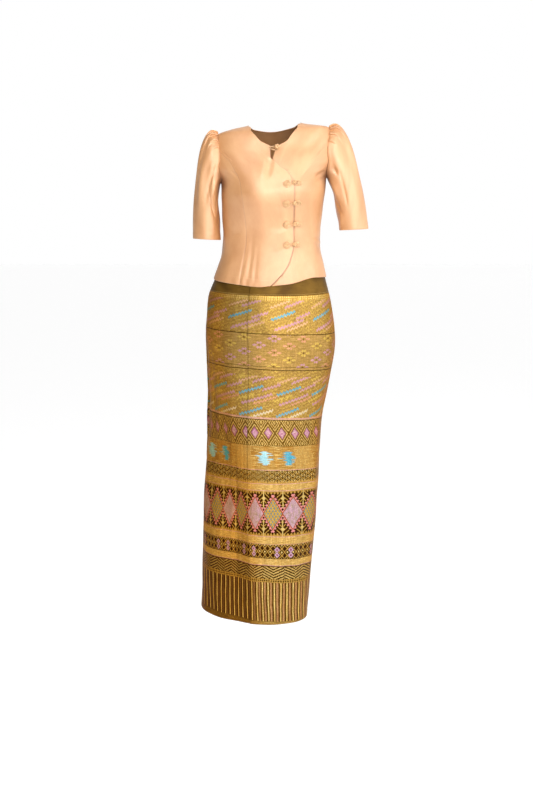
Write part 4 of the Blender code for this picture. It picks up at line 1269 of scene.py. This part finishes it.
def great_diamonds(cloth):
    """A row of tall diamonds, gold and lilac by turns, edged with teeth; gold sprays fill the corners."""
    u, v, random = cloth.u, cloth.v, cloth.random
    x, y = u.around(0, 48), v - 982
    far = abs(x) / 24.7 + abs(y) / 43
    corner_x, corner_y = u.off(24, 48), abs(y)
    boughs = ((corner_x * 0.9 + corner_y).off(3, 10.5) < 1.4) * (corner_x < 14)
    stem = (corner_x < 1.3).most((corner_x / 5 + abs(corner_y - 40) / 7) < 1)
    crown = (u.off(4, 8) / 3 + abs(corner_y - 54) / 4) < 1
    crown = (abs(corner_y - 57.5) < 1.6).most(crown)
    spray = stem.most(boughs).most(crown) * (far > 1.3)
    ground = cloth.paint(cloth.mottled(DEEP, BROWN), spray, cloth.mix(stem, GOLD, PALE_GOLD), 0.5, 0.5)
    along = corner_y * 0.867 - abs(x) * 0.498
    teeth = (far < 1.27) * (along.off(2, 9.4) < 2.3)
    ground = cloth.over(ground, ((far < 1.1).most(teeth), PINK_TOOTH), (far < 1.04, RUST))
    rising, falling = x / 8.2 + y / 14.3, x / 8.2 - y / 14.3
    grid = (rising.off(0, 1) < 0.13).most(falling.off(0, 1) < 0.13)
    cell = (rising.off(0.5, 1) < 0.25) * (falling.off(0.5, 1) < 0.25)
    gold = cloth.mix(grid, cloth.mix(cell, GREEN_GOLD, SLATE), GOLD)
    lilac = cloth.mix(cloth.noise(u / 6, v / 24, 3).ramp(0.35, 0.65), LILAC_BRIGHT, LILAC_GREY)
    lilac = cloth.mix((random > 0.85) * 0.4, lilac, PALE_GOLD)
    lilac = cloth.mix(cloth.noise(u / 4, v / 11, 3).ramp(0.52, 0.66) * 0.5, lilac, GREEN_GOLD)
    return cloth.mix(far < 0.94, ground, cloth.mix(u.off(0, 96) < 24, lilac, gold))


def small_lattice(cloth):
    """Gold crosses and triangles on a dark ground, with pairs of plum lozenges."""
    u, v = cloth.u, cloth.v
    across, down = u.off(0, 14), (v - 1064).off(0, 18)
    ground = cloth.paint(cloth.mottled(DEEP, BROWN), abs(across - down * (28 / 36)) < 1.25, GOLD, 0.6, 0.4)
    dots = (u.off(7, 14) / 2.2 + down / 3.2) < 1
    ground = cloth.mix(dots * 0.9, ground, PALE_GOLD)
    y = abs(abs(v - 1083) - 7)
    for centre in (10, 43):
        far = u.off(centre, 96) / 6.6 + y / 8
        ground = cloth.over(ground, (far < 1.2, DEEP), (far < 1, cloth.mix(far < 0.42, LILAC_BRIGHT, PLUM)))
    return ground


def chevrons(cloth):
    """Gold hatching that turns its slope by turns, on a dark ground."""
    sign = (cloth.u.around(0, 54) > 0) * 2 - 1
    hatch = (cloth.v + cloth.u * sign * 0.5).past(0, 7.2) < (cloth.random * 1.2 + 3.2)
    ground = cloth.mottled(DEEP, BROWN, 0.5)
    ground = cloth.paint(ground, hatch, cloth.mottled(GOLD, PALE_GOLD), 0.5, 0.45)
    # Painted shade: the ground darkens toward brown away from the lit front
    return cloth.mix(cloth.painted_shade * 0.35, ground, BROWN)


def upright_stripes(cloth):
    """Gold and copper bars on a streaked brown ground."""
    u, v = cloth.u, cloth.v
    bar = (cloth.across + (cloth.noise(u / 60, v / 55, 1) - 0.5) * 3).past(0, 16)
    streaks = cloth.noise(u / 1.6, v / 40).ramp(0.3, 0.7)
    # Painted shade: the copper darkens to brown, and the ground to dark, away from the lit front
    copper = cloth.mix(cloth.painted_shade * 0.6, cloth.mix(streaks, COPPER, COPPER_LIGHT), BROWN)
    ground = cloth.mix(bar.within(6.4, 11.2), cloth.mix(streaks, BROWN, STRIPE_GROUND), copper)
    ground = cloth.mix(cloth.painted_shade * 0.35, ground, DEEP)
    return cloth.mix(bar < 3.1, ground, cloth.mix(streaks, GOLD, PALE_GOLD))


def brocade_border():
    """The border cloth: its woven bands, each under a line or two, and its plain hem."""
    cloth = Brocade("brocade_border", 0.8)
    u, v = cloth.u, cloth.v
    dots = (u.off(0, 6) / 2.4 + v.off(1159, 5.4) / 2.2) < 1
    # A lit and a shaded copy of the hem's ground; the hem band picks between them by the painted shade
    hem = (cloth.flecked(OLIVE, TAN, 0, 30), cloth.flecked(HEM_BROWN, OLIVE, 0, 30))
    stitch = (abs(v - 1267.6) < 0.6) * (u.past(0, 4.2) < 2.8)
    bands = (
        (0, lattice_band(cloth)),
        (807.0, DEEP_LINE),
        (808.2, clouds(cloth)),
        (868.6, ROSE),
        (870.4, zigzags(cloth)),
        (904.6, ROSE),
        (906.4, stripe(cloth)),
        (921.4, ROSE),
        (923.4, great_diamonds(cloth)),
        (1041.5, ROSE),
        (1043.2, stripe(cloth)),
        (1061.0, cloth.mix(0.5, ROSE, GOLD)),
        (1062.6, BROWN_LINE),
        (1064, small_lattice(cloth)),
        (1099, BROWN_LINE),
        (1100.4, stripe(cloth)),
        (1116.6, ROSE),
        (1118.4, BROWN_LINE),
        (1121, chevrons(cloth)),
        (1154, cloth.mix(dots, cloth.mottled(OLIVE, GOLD), DEEP)),
        (1164, upright_stripes(cloth)),
        (1266, cloth.mix(stitch, cloth.mix(cloth.painted_shade, *hem), DEEP)),
    )
    return cloth.woven(bands)


def placed(name, data, place, turned=(0, 0, 0)):
    """A new object in the scene."""
    made = bpy.data.objects.new(name, data)
    made.location, made.rotation_euler = place, turned
    bpy.context.scene.collection.objects.link(made)
    return made


def camera():
    eye = bpy.data.cameras.new("camera")
    eye.sensor_fit, eye.sensor_height, eye.lens = "VERTICAL", SENSOR, LENS
    eye.dof.use_dof = False
    bpy.context.scene.camera = placed("camera", eye, CAMERA_PLACE, (math.radians(90 - CAMERA_DOWN), 0, 0))


def lamp(name, place, aim, size, power, spread):
    light = bpy.data.lights.new(name, "AREA")
    light.shape = "DISK"
    light.size, light.energy, light.color = size, power, LAMP_COLOUR
    light.spread = math.radians(spread)
    direction = mathutils.Vector(aim) - mathutils.Vector(place)
    placed(name, light, place, direction.to_track_quat("-Z", "Y").to_euler())


def studio():
    """A plain white room with soft lamps, brightest at one side, and its pale floor."""
    scene = bpy.context.scene
    scene.view_settings.view_transform = "Standard"
    scene.view_settings.look = "None"
    scene.world = bpy.data.worlds.new("studio")
    scene.world.use_nodes = True
    tree = scene.world.node_tree
    place = new_node(tree, "TexCoord", {}).outputs["Generated"]
    toward = new_node(tree, "VectorMath", {0: place, 1: BRIGHT_SIDE}, operation="DOT_PRODUCT")
    inputs = BRIGHTNESS | {"Value": toward.outputs["Value"]}
    glow = new_node(tree, "MapRange", inputs, interpolation_type="SMOOTHSTEP")
    feed(tree, glow.outputs["Result"], tree.nodes["Background"].inputs["Strength"])
    feed(tree, (1, 1, 1, 1), tree.nodes["Background"].inputs["Color"])
    for row in LAMPS:
        lamp(*row)
    mesh = bpy.data.meshes.new("floor")
    corners = ((-1, -1), (1, -1), (1, 1), (-1, 1))
    mesh.from_pydata([(x * FLOOR_REACH, y * FLOOR_REACH, FLOOR) for x, y in corners], [], [(0, 1, 2, 3)])
    paint = bpy.data.materials.new("floor")
    paint.use_nodes = True
    tree = paint.node_tree
    grain = new_node(tree, "TexNoise", {"Scale": 3}).outputs["Fac"]
    tone = new_node(tree, "MapRange", {"Value": grain, "To Min": 0.80, "To Max": 0.84}).outputs["Result"]
    shine = {"Base Color": tone, "Roughness": 0.7, "Emission Color": (1, 1, 1, 1), "Emission Strength": 0.40}
    for name, value in shine.items():
        feed(tree, value, tree.nodes["Principled BSDF"].inputs[name])
    mesh.materials.append(paint)
    placed("floor", mesh, (0, 0, 0))


def build():
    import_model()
    camera()
    studio()
    gold = satin("satin", 0, SATIN_DEEP, SATIN_BRIGHT)
    cords = satin("frog_satin", 0.04, CORD_DEEP, CORD_BRIGHT)
    front_panels(gold)
    back_panel(gold)
    for row in SLEEVES:
        sleeve(gold, *row)
    neck_fastening(cords)
    for number, row in enumerate(FROGS, start=2):
        frog(number, *row, cords)
    skirt_strip("skirt_waistband", WAIST_TOP, WAISTBAND_END, WAISTBAND_ROWS, olive_twill())
    skirt_strip("skirt_body", WAISTBAND_END, BORDER_TOP, BODY_ROWS, brocade_body())
    skirt_strip("skirt_border", BORDER_TOP, SKIRT_HEM, BORDER_ROWS, brocade_border(), hemmed=True)


build()
